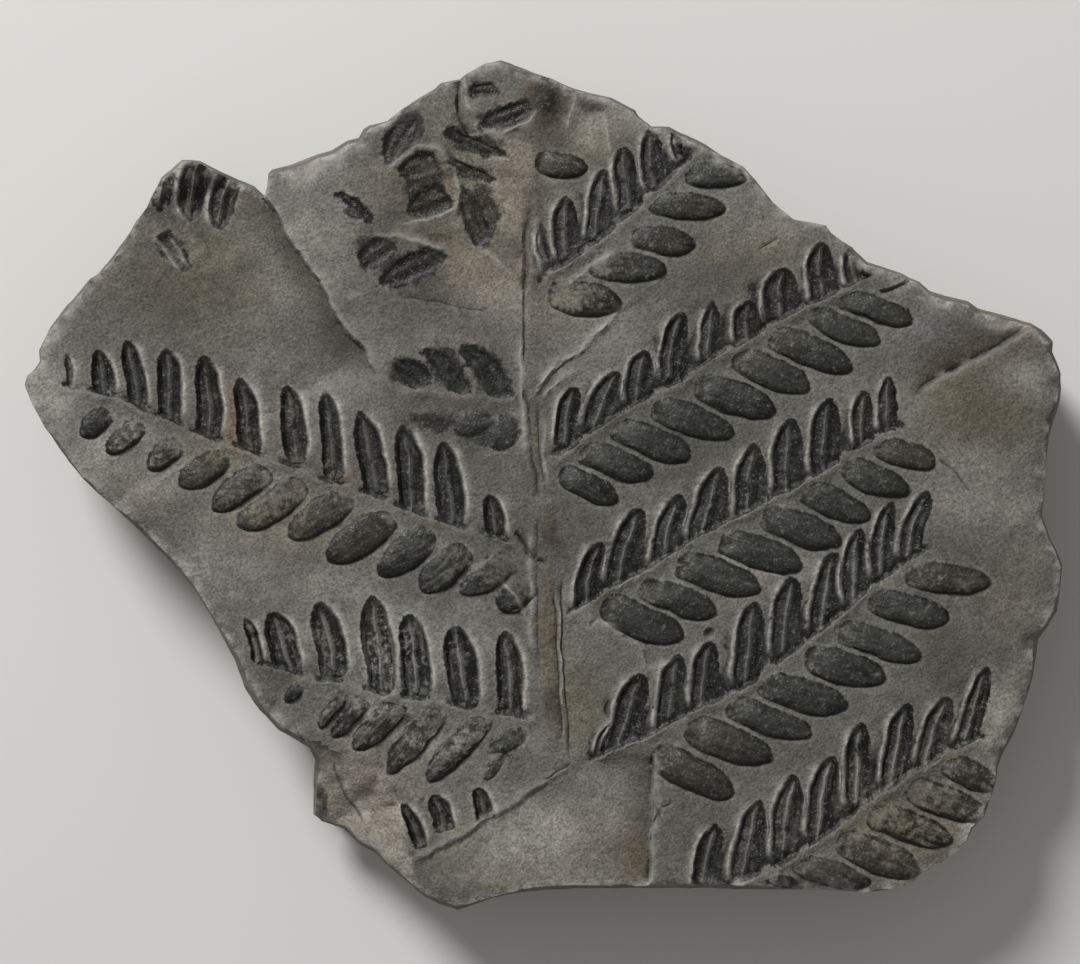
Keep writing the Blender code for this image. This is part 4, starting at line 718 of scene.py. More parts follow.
class Leaflet:
    """One leaflet: its middle line, its width, and its height above or below the face."""

    NUDGE = 0.02  # slopes are measured over this distance
    LEAST_SLOPE = 0.05

    def __init__(self, row, hollow, rim_side, tone, torn):
        foot_x, foot_y, tip_x, tip_y, width = row
        self.foot = np.array((foot_x, foot_y))
        reach = np.array((tip_x, tip_y)) - self.foot
        self.length = math.hypot(*reach)
        self.along = reach / self.length
        self.across = np.array((-self.along[1], self.along[0])) * rim_side
        self.hollow = hollow
        self.tone = tone
        self.torn = torn
        self.width = width - RIM_WIDTH if hollow else width
        self.shift = -0.5 * RIM_WIDTH if hollow else 0.0
        self.bow = BOW if hollow else 0.0
        self.bluntness = TROUGH_BLUNTNESS if hollow and not torn else PILLOW_BLUNTNESS
        self.relief = TORN_RELIEF if torn else 1.0
        self.skew = TROUGH_SKEW if hollow else PILLOW_SKEW
        self.webbed = WEB_SHARES[0] if rim_side < 0.0 else WEB_SHARES[1]

    def near(self, x, y, reach):
        """Which places lie within a reach of the leaflet."""
        centre = self.foot + 0.5 * self.length * self.along
        return np.flatnonzero(np.hypot(x - centre[0], y - centre[1]) < 0.5 * self.length + reach)

    def read(self, x, y):
        """Part of the length, distance towards the rim and scale of the outline at each place."""
        from_x = x - self.foot[0]
        from_y = y - self.foot[1]
        part = (from_x * self.along[0] + from_y * self.along[1]) / self.length
        inside = np.clip(part, 0.0, 1.0)
        middle = self.shift + self.bow * 4.0 * inside * (1.0 - inside)
        side = from_x * self.across[0] + from_y * self.across[1] - middle
        ahead = 2.0 * inside ** self.skew - 1.0 + 2.0 * (part - inside)
        aside = 2.0 * side / self.width
        power = self.bluntness[0] + (self.bluntness[1] - self.bluntness[0]) * inside
        scale = (abs(ahead) ** power + abs(aside) ** power) ** (1.0 / power)
        return part, side, scale

    def contour(self, gap):
        """Evenly spaced places round the leaflet at a distance from its outline."""
        turn = np.linspace(0.0, 2.0 * math.pi, CONTOUR_TURNS, endpoint=False)
        part = (0.5 + 0.5 * np.cos(turn)) ** (1.0 / self.skew)
        side = 0.5 * self.width * np.sin(turn)
        x, y = self.place(part, side)
        for _ in range(CONTOUR_PASSES):
            now, away_x, away_y = self.outline_gap(x, y)
            x = x + (gap - now) * away_x
            y = y + (gap - now) * away_y
        return evenly_spaced(np.stack((x, y), axis=1), CONTOUR_SPACING, closed=True)

    def rib_line(self, offset):
        """Evenly spaced places beside the middle line."""
        part = np.linspace(*RIB_ENDS, max(3, int(self.length / CONTOUR_SPACING)))
        return np.stack(self.place(part, np.full(part.shape, offset)), axis=1)

    def place(self, part, side):
        """The sheet places at parts of the length and distances towards the rim."""
        away = self.shift + self.bow * 4.0 * part * (1.0 - part) + side
        x = self.foot[0] + self.along[0] * part * self.length + self.across[0] * away
        y = self.foot[1] + self.along[1] * part * self.length + self.across[1] * away
        return x, y

    def outline_gap(self, x, y):
        """Distance to the outline, negative inside it, and the direction away from the leaflet."""
        scale = self.read(x, y)[2]
        slope_x = (self.read(x + self.NUDGE, y)[2] - scale) / self.NUDGE
        slope_y = (self.read(x, y + self.NUDGE)[2] - scale) / self.NUDGE
        steepness = np.maximum(np.hypot(slope_x, slope_y), self.LEAST_SLOPE)
        return (scale - 1.0) / steepness, slope_x / steepness, slope_y / steepness

    def midrib(self, side, scale):
        """Nearness to the thin rib along the floor of a trough."""
        return np.exp(-(side / MIDRIB_WIDTH) ** 2) * smooth(1.0 - scale, 0.0, WALL_PART)

    def rim(self, part, side, scale):
        """Nearness to the crest of the lip beside a trough."""
        from_crest = 0.5 * ((scale - 1.0) * self.width - RIM_WIDTH)
        crest = np.exp(-(2.0 * from_crest / RIM_WIDTH) ** 2)
        return crest * smooth(side, 0.0, RIM_WIDTH) * end_fade(part, RIM_FADE)

    def height(self, part, side, scale):
        """Height that the leaflet adds to the face."""
        if not self.hollow:
            dome = np.sqrt(np.clip(1.0 - scale ** DOME_POWER, 0.0, 1.0))
            return PILLOW_RISE * dome * smooth(part, 0.0, FOOT_PART) * self.relief
        floor = -TROUGH_DEPTH * smooth(1.0 - scale, 0.0, WALL_PART)
        ribs = MIDRIB_RISE * self.midrib(side, scale) + RIM_RISE * self.rim(part, side, scale)
        return (floor + ribs) * self.relief


def smooth(value, low, high):
    """Zero below low, one above high and an even rise between."""
    share = np.clip((value - low) / (high - low), 0.0, 1.0)
    return share * share * (3.0 - 2.0 * share)


def end_fade(passed, share):
    """One along a line, falling to zero over a share of its length at both of its ends."""
    return smooth(passed, 0.0, share) * smooth(1.0 - passed, 0.0, share)


def leaf_share(side):
    """Share of its height that a leaflet keeps at a distance from a stalk, on its own side of it."""
    return np.maximum(smooth(side, *STALK_BAND), smooth(abs(side), *FOOT_REACH))


def make_leaflets():
    """All leaflets, with the rim of a trough on the side that faces the top of the frond."""
    draw = random.Random(LEAFLET_SEED)
    kinds = (
        (RIGHT_TROUGHS, True, -1.0, False),
        (LEFT_TROUGHS, True, 1.0, False),
        (TORN_TROUGHS, True, 1.0, True),
        (RIGHT_PILLOWS + LEFT_PILLOWS, False, 1.0, False),
        (TORN_PILLOWS, False, 1.0, True),
    )
    leaflets = []
    for rows, hollow, rim_side, torn in kinds:
        for row in rows:
            leaflets.append(Leaflet(row, hollow, rim_side, draw.uniform(-1.0, 1.0), torn))
    return leaflets


def line_reading(x, y, line, closed=False):
    """Distance to a line, positive on its right-hand side, and the part of the line passed."""
    points = np.array(line)
    if closed:
        points = np.vstack((points, points[:1]))
    lengths = np.hypot(*(points[1:] - points[:-1]).T)
    starts = np.concatenate(((0.0,), np.cumsum(lengths)))
    best = np.full(x.shape, np.inf)
    signed = np.zeros(x.shape)
    passed = np.zeros(x.shape)
    for index, length in enumerate(lengths):
        ahead = (points[index + 1] - points[index]) / length
        from_x = x - points[index][0]
        from_y = y - points[index][1]
        run = np.clip(from_x * ahead[0] + from_y * ahead[1], 0.0, length)
        gap = np.hypot(from_x - run * ahead[0], from_y - run * ahead[1])
        side = ahead[0] * from_y - ahead[1] * from_x
        nearer = gap < best
        best = np.where(nearer, gap, best)
        signed = np.where(nearer, np.copysign(gap, side), signed)
        passed = np.where(nearer, (starts[index] + run) / starts[-1], passed)
    return signed, passed


class Face:
    """The fossil face at given places of the sheet: its height and what its colours depend on."""

    def __init__(self, x, y, border, leaflets):
        self.x = x
        self.y = y
        self.grain = Unevenness(GRAIN_SEED)
        self.broad = Unevenness(FLAKE_SEED)
        self.marks = {name: np.zeros(x.shape) for name in MARK_NAMES}
        for name, patches in PATCHES.items():
            self.marks[name] = self.patch_strength(patches)
        self.read_leaflets(leaflets)
        self.read_stalks()
        self.read_ledges()
        self.read_fine_lines()
        self.read_corner()
        self.read_border(border)
        self.height = self.build_height()

    def patch_strength(self, patches):
        """Strength of a kind of soft patch at each place."""
        strength = np.zeros(self.x.shape)
        for centre_x, centre_y, half_width, half_height, amount in patches:
            spread = ((self.x - centre_x) / half_width) ** 2 + ((self.y - centre_y) / half_height) ** 2
            strength = np.maximum(strength, amount * np.exp(-spread))
        return strength

    def raise_mark(self, name, values, places=slice(None)):
        """Raises a mark to some values where it is below them."""
        self.marks[name][places] = np.maximum(self.marks[name][places], values)

    def shaken_reading(self, line, shake, scale=1.0, layers=3):
        """Reading of a line that wanders by an amount and size, the amount times a scale."""
        gap, passed = line_reading(self.x, self.y, line)
        amount, size = shake
        return gap + amount * scale * self.grain.at(self.x, self.y, size, layers), passed

    def read_leaflets(self, leaflets):
        """Height of the leaflets, and at each place the one whose outline is nearest."""
        count = self.x.shape
        self.raised = np.zeros(count)
        self.sunken = np.zeros(count)
        gaps = np.full(count, FAR)
        second = np.full(count, FAR)
        webbed = np.zeros(count)
        for leaflet in leaflets:
            near = leaflet.near(self.x, self.y, FAR)
            part, side, scale = leaflet.read(self.x[near], self.y[near])
            gap, _, away_y = leaflet.outline_gap(self.x[near], self.y[near])
            added = leaflet.height(part, side, scale)
            self.raised[near] = np.maximum(self.raised[near], added)
            self.sunken[near] = np.minimum(self.sunken[near], added)
            if leaflet.hollow and not leaflet.torn:
                self.raise_mark("rim", leaflet.rim(part, side, scale), near)
                self.raise_mark("rib", leaflet.midrib(side, scale), near)
            second[near] = np.minimum(second[near], np.maximum(gap, gaps[near]))
            nearer = gap < gaps[near]
            chosen = near[nearer]
            gaps[chosen] = gap[nearer]
            webbed[chosen] = leaflet.webbed
            self.marks["part"][chosen] = np.clip(part[nearer], 0.0, 1.0)
            self.marks["side"][chosen] = side[nearer]
            self.marks["hollow"][chosen] = float(leaflet.hollow)
            self.marks["torn"][chosen] = float(leaflet.torn)
            self.marks["tone"][chosen] = leaflet.tone
            # how far the outline faces the bottom of the sheet, away from the lamp; this masks the painted
            # shadow line of pillows
            self.marks["under"][chosen] = np.clip(away_y[nearer], 0.0, 1.0)
        shaded_web = smooth(WEB_REACH[0] - gaps, 0.0, WEB_REACH[1])
        shaded_web *= 1.0 - smooth(self.marks["part"], *WEB_PART)
        shaded_web *= smooth(WEB_SPAN[0] - second, 0.0, WEB_SPAN[1]) * webbed
        self.marks["shaded_web"] = shaded_web * self.marks["hollow"] * (1.0 - self.marks["torn"])
        self.sunken = np.minimum(self.sunken, -WEB_DEPTH * self.marks["shaded_web"])
        self.marks["gap"] = np.maximum(gaps, 0.5 * (BAND_WIDTH - (second - gaps)))

    def read_stalks(self):
        """Heights of the stalks and the stem. A stalk cuts off the leaflets on both of its sides."""
        self.stalks = np.zeros(self.x.shape)
        nearest = np.full(self.x.shape, FAR)
        for lines, turn in ((RIGHT_STALKS, -1.0), (LEFT_STALKS, 1.0)):
            for line in lines:
                gap, passed = line_reading(self.x, self.y, line)
                nearest = np.where(abs(gap) < abs(nearest), turn * gap, nearest)
                gap = gap + STALK_SHAKE[0] * self.grain.at(self.x, self.y, STALK_SHAKE[1])
                ridge = np.exp(-(gap / STALK_WIDTH) ** 2) * end_fade(passed, STALK_FADE)
                change = STALK_CHANGE[0] * self.grain.at(self.x, self.y, STALK_CHANGE[1])
                ridge *= np.clip(STALK_MEAN + change, *STALK_LIMITS)
                self.raise_mark("stalk", ridge)
                self.stalks = np.maximum(self.stalks, STALK_RISE * ridge)
        gap, passed = line_reading(self.x, self.y, STEM)
        ridge = np.exp(-(gap / STEM_WIDTH) ** 2) * end_fade(passed, STALK_FADE)
        self.stalks = np.maximum(self.stalks, STEM_RISE * ridge)

        hollow = self.marks["hollow"]
        groove = smooth(nearest, *GROOVE_START) * (1.0 - smooth(nearest, *GROOVE_END))
        groove *= hollow * (1.0 - smooth(self.marks["gap"], *GROOVE_REACH))
        self.marks["groove"] = groove * (1.0 - self.marks["torn"])
        self.steps = -FOOT_GROOVE * self.marks["groove"]
        trough_share = leaf_share(nearest)
        pillow_share = leaf_share(-nearest)
        self.sunken *= trough_share
        self.raised *= pillow_share
        for name in ("rim", "rib", "shaded_web"):
            self.marks[name] *= trough_share
        self.marks["gap"] += CUT_GAP * (1.0 - np.where(hollow > 0.5, trough_share, pillow_share))

    def read_ledges(self):
        """Steps of the ledges, with a painted highlight along each edge and painted shade beyond each foot.
        """
        for line, depth, step, reach in LEDGES:
            gap, passed = self.shaken_reading(line, LEDGE_SHAKE)
            fade = smooth(passed, 0.0, LEDGE_RISE) * smooth(1.0 - passed, 0.0, LEDGE_FADE)
            fall = smooth(gap, 0.0, step) * np.exp(-(np.maximum(gap, 0.0) / reach) ** 2)
            self.steps -= depth * fall * fade
            # painted shade: a dark band beyond the foot of each deep ledge, where its shadow would lie
            ledge_shade = np.exp(-(np.maximum(gap - step, 0.0) / LEDGE_SHADE_REACH) ** 2) * smooth(gap, 0.0, step)
            self.raise_mark("ledge_shade", ledge_shade * fade * smooth(depth, *SHADED_DEPTHS))
            # painted highlight: a pale band along the high side of each ledge's edge, as if the edge caught
            # the lamp
            lip = np.exp(-((gap - LIP_PLACE) / LIP_WIDTH) ** 2) * fade * min(1.0, reach / LIP_REACH)
            self.raise_mark("ledge", lip)

    def read_fine_lines(self):
        """Grooves of the cracks and dark lines, and the fine light ridges."""
        for line, depth, half_width in CRACKS + FINE_LINES:
            gap, passed = self.shaken_reading(line, CRACK_SHAKE, half_width, layers=2)
            groove = np.clip(1.0 - abs(gap) / half_width, 0.0, 1.0) * end_fade(passed, CRACK_FADE)
            self.raise_mark("crack", groove)
            self.steps -= depth * groove
        for line, rise, half_width in FINE_RIDGES:
            gap, passed = self.shaken_reading(line, RIDGE_SHAKE, half_width, layers=2)
            ridge = np.exp(-(gap / half_width) ** 2) * end_fade(passed, RIDGE_FADE)
            self.raise_mark("crest", ridge)
            self.steps += rise * ridge

    def read_corner(self):
        """The round pit, and the fall of the chipped corner."""
        pit_scale = np.hypot(self.x - PIT[0], self.y - PIT[1]) / PIT_RADIUS
        self.marks["pit"] = np.clip(1.0 - pit_scale ** 2, 0.0, 1.0)
        self.steps -= PIT_DEPTH * self.marks["pit"]
        self.fall = self.shaken_reading(CORNER_BREAK, BREAK_SHAKE)[0]
        self.marks["broken"] = smooth(self.fall, 0.0, BREAK_EDGE)

    def read_border(self, border):
        """Distance to the slab's broken edge, and how deeply that edge is chipped."""
        gap, passed = line_reading(self.x, self.y, border, closed=True)
        self.border_gap = abs(gap)
        around = passed * ROUND_LENGTH
        chips = self.broad.at(around, np.zeros(around.shape), CHIP_SIZE, layers=4)
        chips = CHIP_REACH * np.clip(chips + CHIP_MEAN, *CHIP_LIMITS)
        shake = CHIP_SHAKE[0] * self.grain.at(self.x, self.y, CHIP_SHAKE[1])
        self.chipped = np.maximum(chips - self.border_gap + shake, 0.0)
        self.marks["edge"] = np.exp(-(self.border_gap / EDGE_WEAR) ** 2)
        self.marks["chip"] = smooth(self.chipped, 0.0, CHIP_EDGE)

    def wandered(self):
        """The places moved a little, so that no form is as regular as it was drawn."""
        fade = WANDER * smooth(self.border_gap, 0.0, WANDER_FADE)
        x = self.x + fade * self.grain.at(self.x + WANDER_SHIFT[0], self.y, WANDER_SIZE)
        y = self.y + fade * self.grain.at(self.x, self.y + WANDER_SHIFT[1], WANDER_SIZE)
        return np.stack((x, y), axis=1)

    def build_height(self):
        """Height of the face over the underside, in millimetres."""
        x = self.x
        y = self.y
        broad_x, broad_y, narrow_x, narrow_y = SWELL_LENGTHS
        broad = np.sin(x / broad_x + SWELL_SHIFTS[0]) * np.cos(y / broad_y + SWELL_SHIFTS[1])
        narrow = 0.5 * np.sin(x / narrow_x - y / narrow_y)
        height = FACE_HEIGHT + FACE_SWELL * (broad + narrow - 2.0)
        raised = self.raised * smooth(-self.marks["gap"], *PILLOW_EDGE)
        height += self.steps + np.maximum(self.stalks, raised) + self.sunken
        inside = smooth(-self.marks["gap"], 0.0, LEAF_EDGE)
        pillow = inside * (1.0 - self.marks["hollow"])
        foot = 1.0 - smooth(self.marks["part"], *ROUGH_PART)
        wander = RIDGE_WANDER[0] * self.grain.at(x, y, RIDGE_WANDER[1], layers=2)
        ridges = np.cos(2.0 * math.pi * (self.marks["side"] / RIDGE_SPACING + wander))
        height += RIDGE_RISE * ridges * inside * self.marks["striped"]
        height += FOOT_GRAIN[0] * pillow * foot * self.grain.at(x, y, FOOT_GRAIN[1], layers=2)
        flakes = self.broad.at(x, y, FLAKE_SIZE, layers=5) * FLAKE_LEVELS
        whole = np.floor(flakes)
        height += FLAKE_STEP * (whole + smooth(flakes - whole, FLAKE_FLAT, 1.0))
        height += GRAIN_RISE * self.grain.at(x, y, GRAIN_SIZE)
        rough = self.broad.at(x, y, BREAK_SIZE, layers=5)
        terraces = np.floor(rough * BREAK_LEVELS) / BREAK_LEVELS
        roughness = BREAK_GRAIN * (terraces + BREAK_SWELL * rough - BREAK_SWELL)
        broken = FACE_HEIGHT - BREAK_STEP - BREAK_SLOPE * self.fall + roughness
        height = np.where(self.fall > 0.0, np.minimum(height, broken), height)
        return height - CHIP_SLOPE * self.chipped


def divide(line, longest):
    """A closed line with points added along its long runs."""
    points = []
    for start, end in zip(line, line[1:] + line[:1]):
        parts = max(1, math.ceil(math.dist(start, end) / longest))
        for number in range(parts):
            share = number / parts
            points.append((start[0] + (end[0] - start[0]) * share, start[1] + (end[1] - start[1]) * share))
    return np.array(points)


def inward_directions(points):
    """Directions into the slab at each point of a clockwise outline, eased where it turns sharply."""
    ahead = np.roll(points, -1, axis=0) - np.roll(points, 1, axis=0)
    ahead /= np.hypot(*ahead.T)[:, None]
    inward = np.stack((-ahead[:, 1], ahead[:, 0]), axis=1)
    for _ in range(CORNER_EASE):
        inward = 0.5 * inward + 0.25 * (np.roll(inward, 1, axis=0) + np.roll(inward, -1, axis=0))
    return inward


def uneven(count, seed):
    """A slowly changing factor round the outline, about one on average."""
    draw = random.Random(seed)
    values = np.ones(count)
    turn = np.linspace(0.0, 2.0 * math.pi, count, endpoint=False)
    for waves in SIDE_WAVES:
        values += draw.uniform(*SIDE_UNEVENNESS) * np.sin(waves * turn + draw.uniform(0.0, 2.0 * math.pi))
    return np.clip(values, *SIDE_LIMITS)


def side_places():
    """Sheet places of the side at each of its main levels, at the spacing of the fine points."""
    outline = divide(OUTLINE, OUTLINE_SPACING)
    inward = inward_directions(outline)
    after = np.roll(outline, -1, axis=0)
    parts = np.maximum(1, np.ceil(np.hypot(*(after - outline).T) / SIDE_SPACING).astype(int))
    owner = np.repeat(np.arange(len(outline)), parts)
    share = np.concatenate([np.arange(count) / count for count in parts])[:, None]

    def refine(values):
        return values[owner] * (1.0 - share) + np.roll(values, -1, axis=0)[owner] * share

    levels = []
    for number, (_, inset) in enumerate(SIDE_LAYERS):
        factor = uneven(len(outline), SIDE_SEED + number)
        levels.append(refine(outline + inward * (inset * factor)[:, None]))
    return levels, refine(inward)


def grid_places(border, spacing):
    """Places in staggered rows over the box round a border."""
    low = border.min(axis=0)
    high = border.max(axis=0)
    rows = np.arange(low[1], high[1], spacing * math.sin(math.pi / 3.0))
    x, y = np.meshgrid(np.arange(low[0], high[0], spacing), rows)
    x = x + (np.arange(len(rows)) % 2)[:, None] * spacing / 2.0
    return np.stack((x.ravel(), y.ravel()), axis=1)


def is_inside(x, y, border):
    """Which places lie within a closed border."""
    crossings = np.zeros(x.shape, int)
    for start, end in zip(border, np.roll(border, -1, axis=0)):
        if start[1] == end[1]:
            continue
        spans = (start[1] > y) != (end[1] > y)
        crossings += spans & (start[0] + (y - start[1]) * (end[0] - start[0]) / (end[1] - start[1]) > x)
    return crossings % 2 == 1


def evenly_spaced(line, spacing, closed=False):
    """Places along a line at an even spacing."""
    points = np.vstack((line, line[:1])) if closed else np.array(line)
    travelled = np.concatenate(((0.0,), np.cumsum(np.hypot(*(points[1:] - points[:-1]).T))))
    count = max(2, int(round(travelled[-1] / spacing)))
    stops = np.linspace(0.0, travelled[-1], count, endpoint=not closed)
    x = np.interp(stops, travelled, points[:, 0])
    y = np.interp(stops, travelled, points[:, 1])
    return np.stack((x, y), axis=1)


def offset_line(line, offset):
    """A line moved sideways, positive to its right-hand side."""
    points = np.array(line)
    ahead = np.gradient(points, axis=0)
    ahead /= np.hypot(*ahead.T)[:, None]
    return points + offset * np.stack((-ahead[:, 1], ahead[:, 0]), axis=1)


class Scatter:
    """Places within a border that keep their distance from each other and from the border."""

    CELL = 0.15  # width of the squares in which kept places are looked up

    def __init__(self, border):
        self.border = border
        self.offers = []
        self.clearances = []
        self.cells = {}
        for place in border:
            self.keep(place)

    def offer(self, places, clearance):
        """Puts places forward. Earlier ones come first where two are too close."""
        self.offers.append(places)
        self.clearances.append(np.full(len(places), clearance))

    def offer_beside(self, line, offsets, clearance):
        """Puts forward evenly spaced places along lines at distances from a line."""
        edge = evenly_spaced(line, CONTOUR_SPACING)
        for offset in offsets:
            self.offer(offset_line(edge, offset), clearance)

    def keep(self, place):
        """Notes a place in its cell."""
        cell = (int(place[0] // self.CELL), int(place[1] // self.CELL))
        self.cells.setdefault(cell, []).append((place[0], place[1]))

    def is_clear(self, place, clearance):
        """Whether no kept place is nearer than the clearance."""
        column = int(place[0] // self.CELL)
        row = int(place[1] // self.CELL)
        reach = math.ceil(clearance / self.CELL)
        for near_column in range(column - reach, column + reach + 1):
            for near_row in range(row - reach, row + reach + 1):
                for other in self.cells.get((near_column, near_row), ()):
                    if math.dist(place, other) < clearance:
                        return False
        return True

    def chosen(self):
        """The offered places that lie within the border and clear of the others."""
        offers = np.vstack(self.offers)
        clearances = np.concatenate(self.clearances)
        within = is_inside(offers[:, 0], offers[:, 1], self.border)
        places = []
        for place, clearance in zip(offers[within], clearances[within]):
            if self.is_clear(place, clearance):
                self.keep(place)
                places.append(place)
        return np.array(places)


def face_points(border, leaflets):
    """Places of the face's points: along the contours of its forms, then evenly over bare slate."""
    scatter = Scatter(evenly_spaced(border, FILL_CLEARANCE, closed=True))
    for leaflet in leaflets:
        scatter.offer(leaflet.contour(CONTOUR_GAPS[0]), CONTOUR_CLEARANCE)
    for leaflet in leaflets:
        for gap in CONTOUR_GAPS[1:3]:
            scatter.offer(leaflet.contour(gap), CONTOUR_CLEARANCE)
        if leaflet.hollow:
            for offset in (0.0, -MIDRIB_WIDTH, MIDRIB_WIDTH):
                scatter.offer(leaflet.rib_line(offset), CONTOUR_CLEARANCE)
    for line, _, step, _ in LEDGES:
        offsets = (0.0, step, 0.5 * step, -LEDGE_MARGIN, step + LEDGE_MARGIN)
        scatter.offer_beside(line, offsets, CONTOUR_CLEARANCE)
    for line, _, half_width in CRACKS + FINE_LINES:
        scatter.offer_beside(line, (0.0, -half_width, half_width), LINE_CLEARANCE * half_width)
    for line, _, half_width in FINE_RIDGES:
        scatter.offer_beside(line, (0.0, -half_width, half_width), CONTOUR_CLEARANCE)
    scatter.offer_beside(CORNER_BREAK, BREAK_OFFSETS, CONTOUR_CLEARANCE)
    for line in RIGHT_STALKS + LEFT_STALKS + (STEM,):
        scatter.offer_beside(line, STALK_OFFSETS, WIDE_CLEARANCE)
    turn = np.linspace(0.0, 2.0 * math.pi, PIT_TURNS, endpoint=False)
    for part in PIT_RINGS:
        ring = np.stack((np.cos(turn), np.sin(turn)), axis=1) * part * PIT_RADIUS
        scatter.offer(ring + PIT, PIT_CLEARANCE)
    for leaflet in leaflets:
        for gap in CONTOUR_GAPS[3:]:
            scatter.offer(leaflet.contour(gap), WIDE_CLEARANCE)
    scatter.offer(grid_places(border, FILL_SPACING), FILL_CLEARANCE)
    return scatter.chosen()


def fill_border(border, inner):
    """Triangles over the border's places and the places within it, with the border's first."""
    places = np.vstack((border, inner))
    edges = [(index, (index + 1) % len(border)) for index in range(len(border))]
    flat = [Vector(place) for place in places]
    points, _, triangles, origins, _, _ = delaunay_2d_cdt(flat, edges, [], WITHIN_EDGES, MERGE_GAP)
    places = np.array([(point.x, point.y) for point in points])
    followers = {source: index for index, sources in enumerate(origins) for source in sources}
    rim = [followers[index] for index in range(len(border))]
    return places, triangles, rim


class SlabMesh:
    """Vertices, triangles, surface marks and map places of the whole closed slab."""

    def __init__(self):
        self.vertices = []
        self.faces = []
        self.map_places = []
        self.marks = {}

    def add_vertices(self, places, heights, marks):
        """Adds vertices at sheet places and heights in millimetres, and returns their numbers."""
        first = sum(len(block) for block in self.vertices)
        x = np.clip((places[:, 0] - CENTRE[0]) * MM, cad_box[0].x, cad_box[1].x)
        y = np.clip((CENTRE[1] - places[:, 1]) * MM, cad_box[0].y, cad_box[1].y)
        z = np.clip(heights * MM, cad_box[0].z, cad_box[1].z)
        self.vertices.append(np.stack((x, y, z), axis=1))
        for name in MARK_NAMES + tuple(PATCHES):
            values = marks.get(name, 0.0)
            self.marks.setdefault(name, []).append(np.broadcast_to(values, len(places)))
        return np.arange(first, first + len(places))

    def add_face(self, corners, map_corners):
        """Adds one face and the places of its corners on the bake's map."""
        self.faces.append(corners)
        self.map_places.extend(map_corners)


def build_slab():
    """The slab as one closed mesh: face, layered sides and flaked underside."""
    leaflets = make_leaflets()
    levels, inward = side_places()
    slab = SlabMesh()
    shake = Unevenness(SIDE_GRAIN_SEED)
    around = np.arange(len(inward)) * SIDE_SPACING
    wander = BORDER_SHAKE[0] * np.clip(shake.at(around, around * 0.0, BORDER_SHAKE[1]), 0.0, 1.0)
    border = levels[0] + inward * wander[:, None]
    rim_numbers, rim_heights = add_face_surface(slab, border, leaflets)
    rings = [rim_numbers]
    for number in range(1, SIDE_LEVELS + 1):
        share = 1.0 - number / SIDE_LEVELS
        layer, extra = layer_ends(shake, around, share)
        ring = side_ring(levels, share) + inward * extra[:, None]
        edge = math.exp(-((1.0 - share) / WORN_SHARE) ** 2)
        marks = {"wall": 1.0, "gap": FAR, "layer": layer % 2.0, "edge": edge}
        rings.append(slab.add_vertices(ring, share * rim_heights, marks))
    add_side_faces(slab, rings)
    add_underside(slab, rings[-1], ring)
    return slab


def add_face_surface(slab, border, leaflets):
    """The fossil face within its border. Returns the numbers and heights of the border's points."""
    places, triangles, rim = fill_border(border, face_points(border, leaflets))
    face = Face(places[:, 0], places[:, 1], border, leaflets)
    numbers = slab.add_vertices(face.wandered(), face.height, face.marks)
    upwards = (places - CENTRE) * (1.0, -1.0) + 0.5 * OUTLINE_SIZE
    face_map = FACE_MAP_CORNER + upwards * FACE_MAP_SCALE
    for triangle in triangles:
        upward = triangle[::-1]
        slab.add_face([numbers[index] for index in upward], [face_map[index] for index in upward])
    return numbers[rim], face.height[rim]


def side_ring(levels, share):
    """Places round the side at a part of the height, between the two levels next to it."""
    shares = np.array([level_share for level_share, _ in SIDE_LAYERS])
    upper = int(np.searchsorted(-shares, -share, side="left")) - 1
    upper = min(max(upper, 0), len(shares) - 2)
    blend = (shares[upper] - share) / (shares[upper] - shares[upper + 1])
    return levels[upper] * (1.0 - blend) + levels[upper + 1] * blend


def layer_ends(shake, around, share):
    """Number of the layer at a height along the side, and how far its broken end lies inside."""
    wave_row, end_step, fray_step, fray_row = LAYER_ROWS
    size, low, high = LAYER_ENDS
    wave = LAYER_WAVE[0] * shake.at(around, around * 0.0 + wave_row, LAYER_WAVE[1])
    layer = np.floor(share * SIDE_LAYER_COUNT + wave)
    ends = shake.at(around / size, layer * end_step, 1.0, layers=3)
    fray = shake.at(around, layer * fray_step + fray_row, LAYER_FRAY[1], layers=2)
    extra = LAYER_SHAKE * np.clip(ends, low, high) + LAYER_FRAY[0] * fray
    widest = min(1.0, WIDEST_PART + WIDEST_RETURN * abs(share - SIDE_LAYERS[1][0]))
    extra = np.maximum(extra + LAYER_SET_BACK, 0.0) * min(1.0, LAYER_START * (1.0 - share)) * widest
    return layer, extra


def add_side_faces(slab, rings):
    """Bands of the side between neighbouring rings, laid on the bake's map in a few long strips."""
    count = len(rings[0])
    strip = math.ceil(count / SIDE_STRIPS)
    for level, (upper, lower) in enumerate(zip(rings, rings[1:])):
        for index in range(count):
            after = (index + 1) % count
            row, column = divmod(index, strip)
            left = SIDE_MAP_CORNER[0] + SIDE_MAP_WIDTH * column / strip
            right = SIDE_MAP_CORNER[0] + SIDE_MAP_WIDTH * (column + 1) / strip
            top = SIDE_MAP_CORNER[1] + SIDE_MAP_STEP * row + SIDE_MAP_HEIGHT * (1.0 - level / SIDE_LEVELS)
            low = top - SIDE_MAP_HEIGHT / SIDE_LEVELS
            corners = (upper[index], upper[after], lower[after], lower[index])
            slab.add_face(corners, ((left, top), (right, top), (right, low), (left, low)))


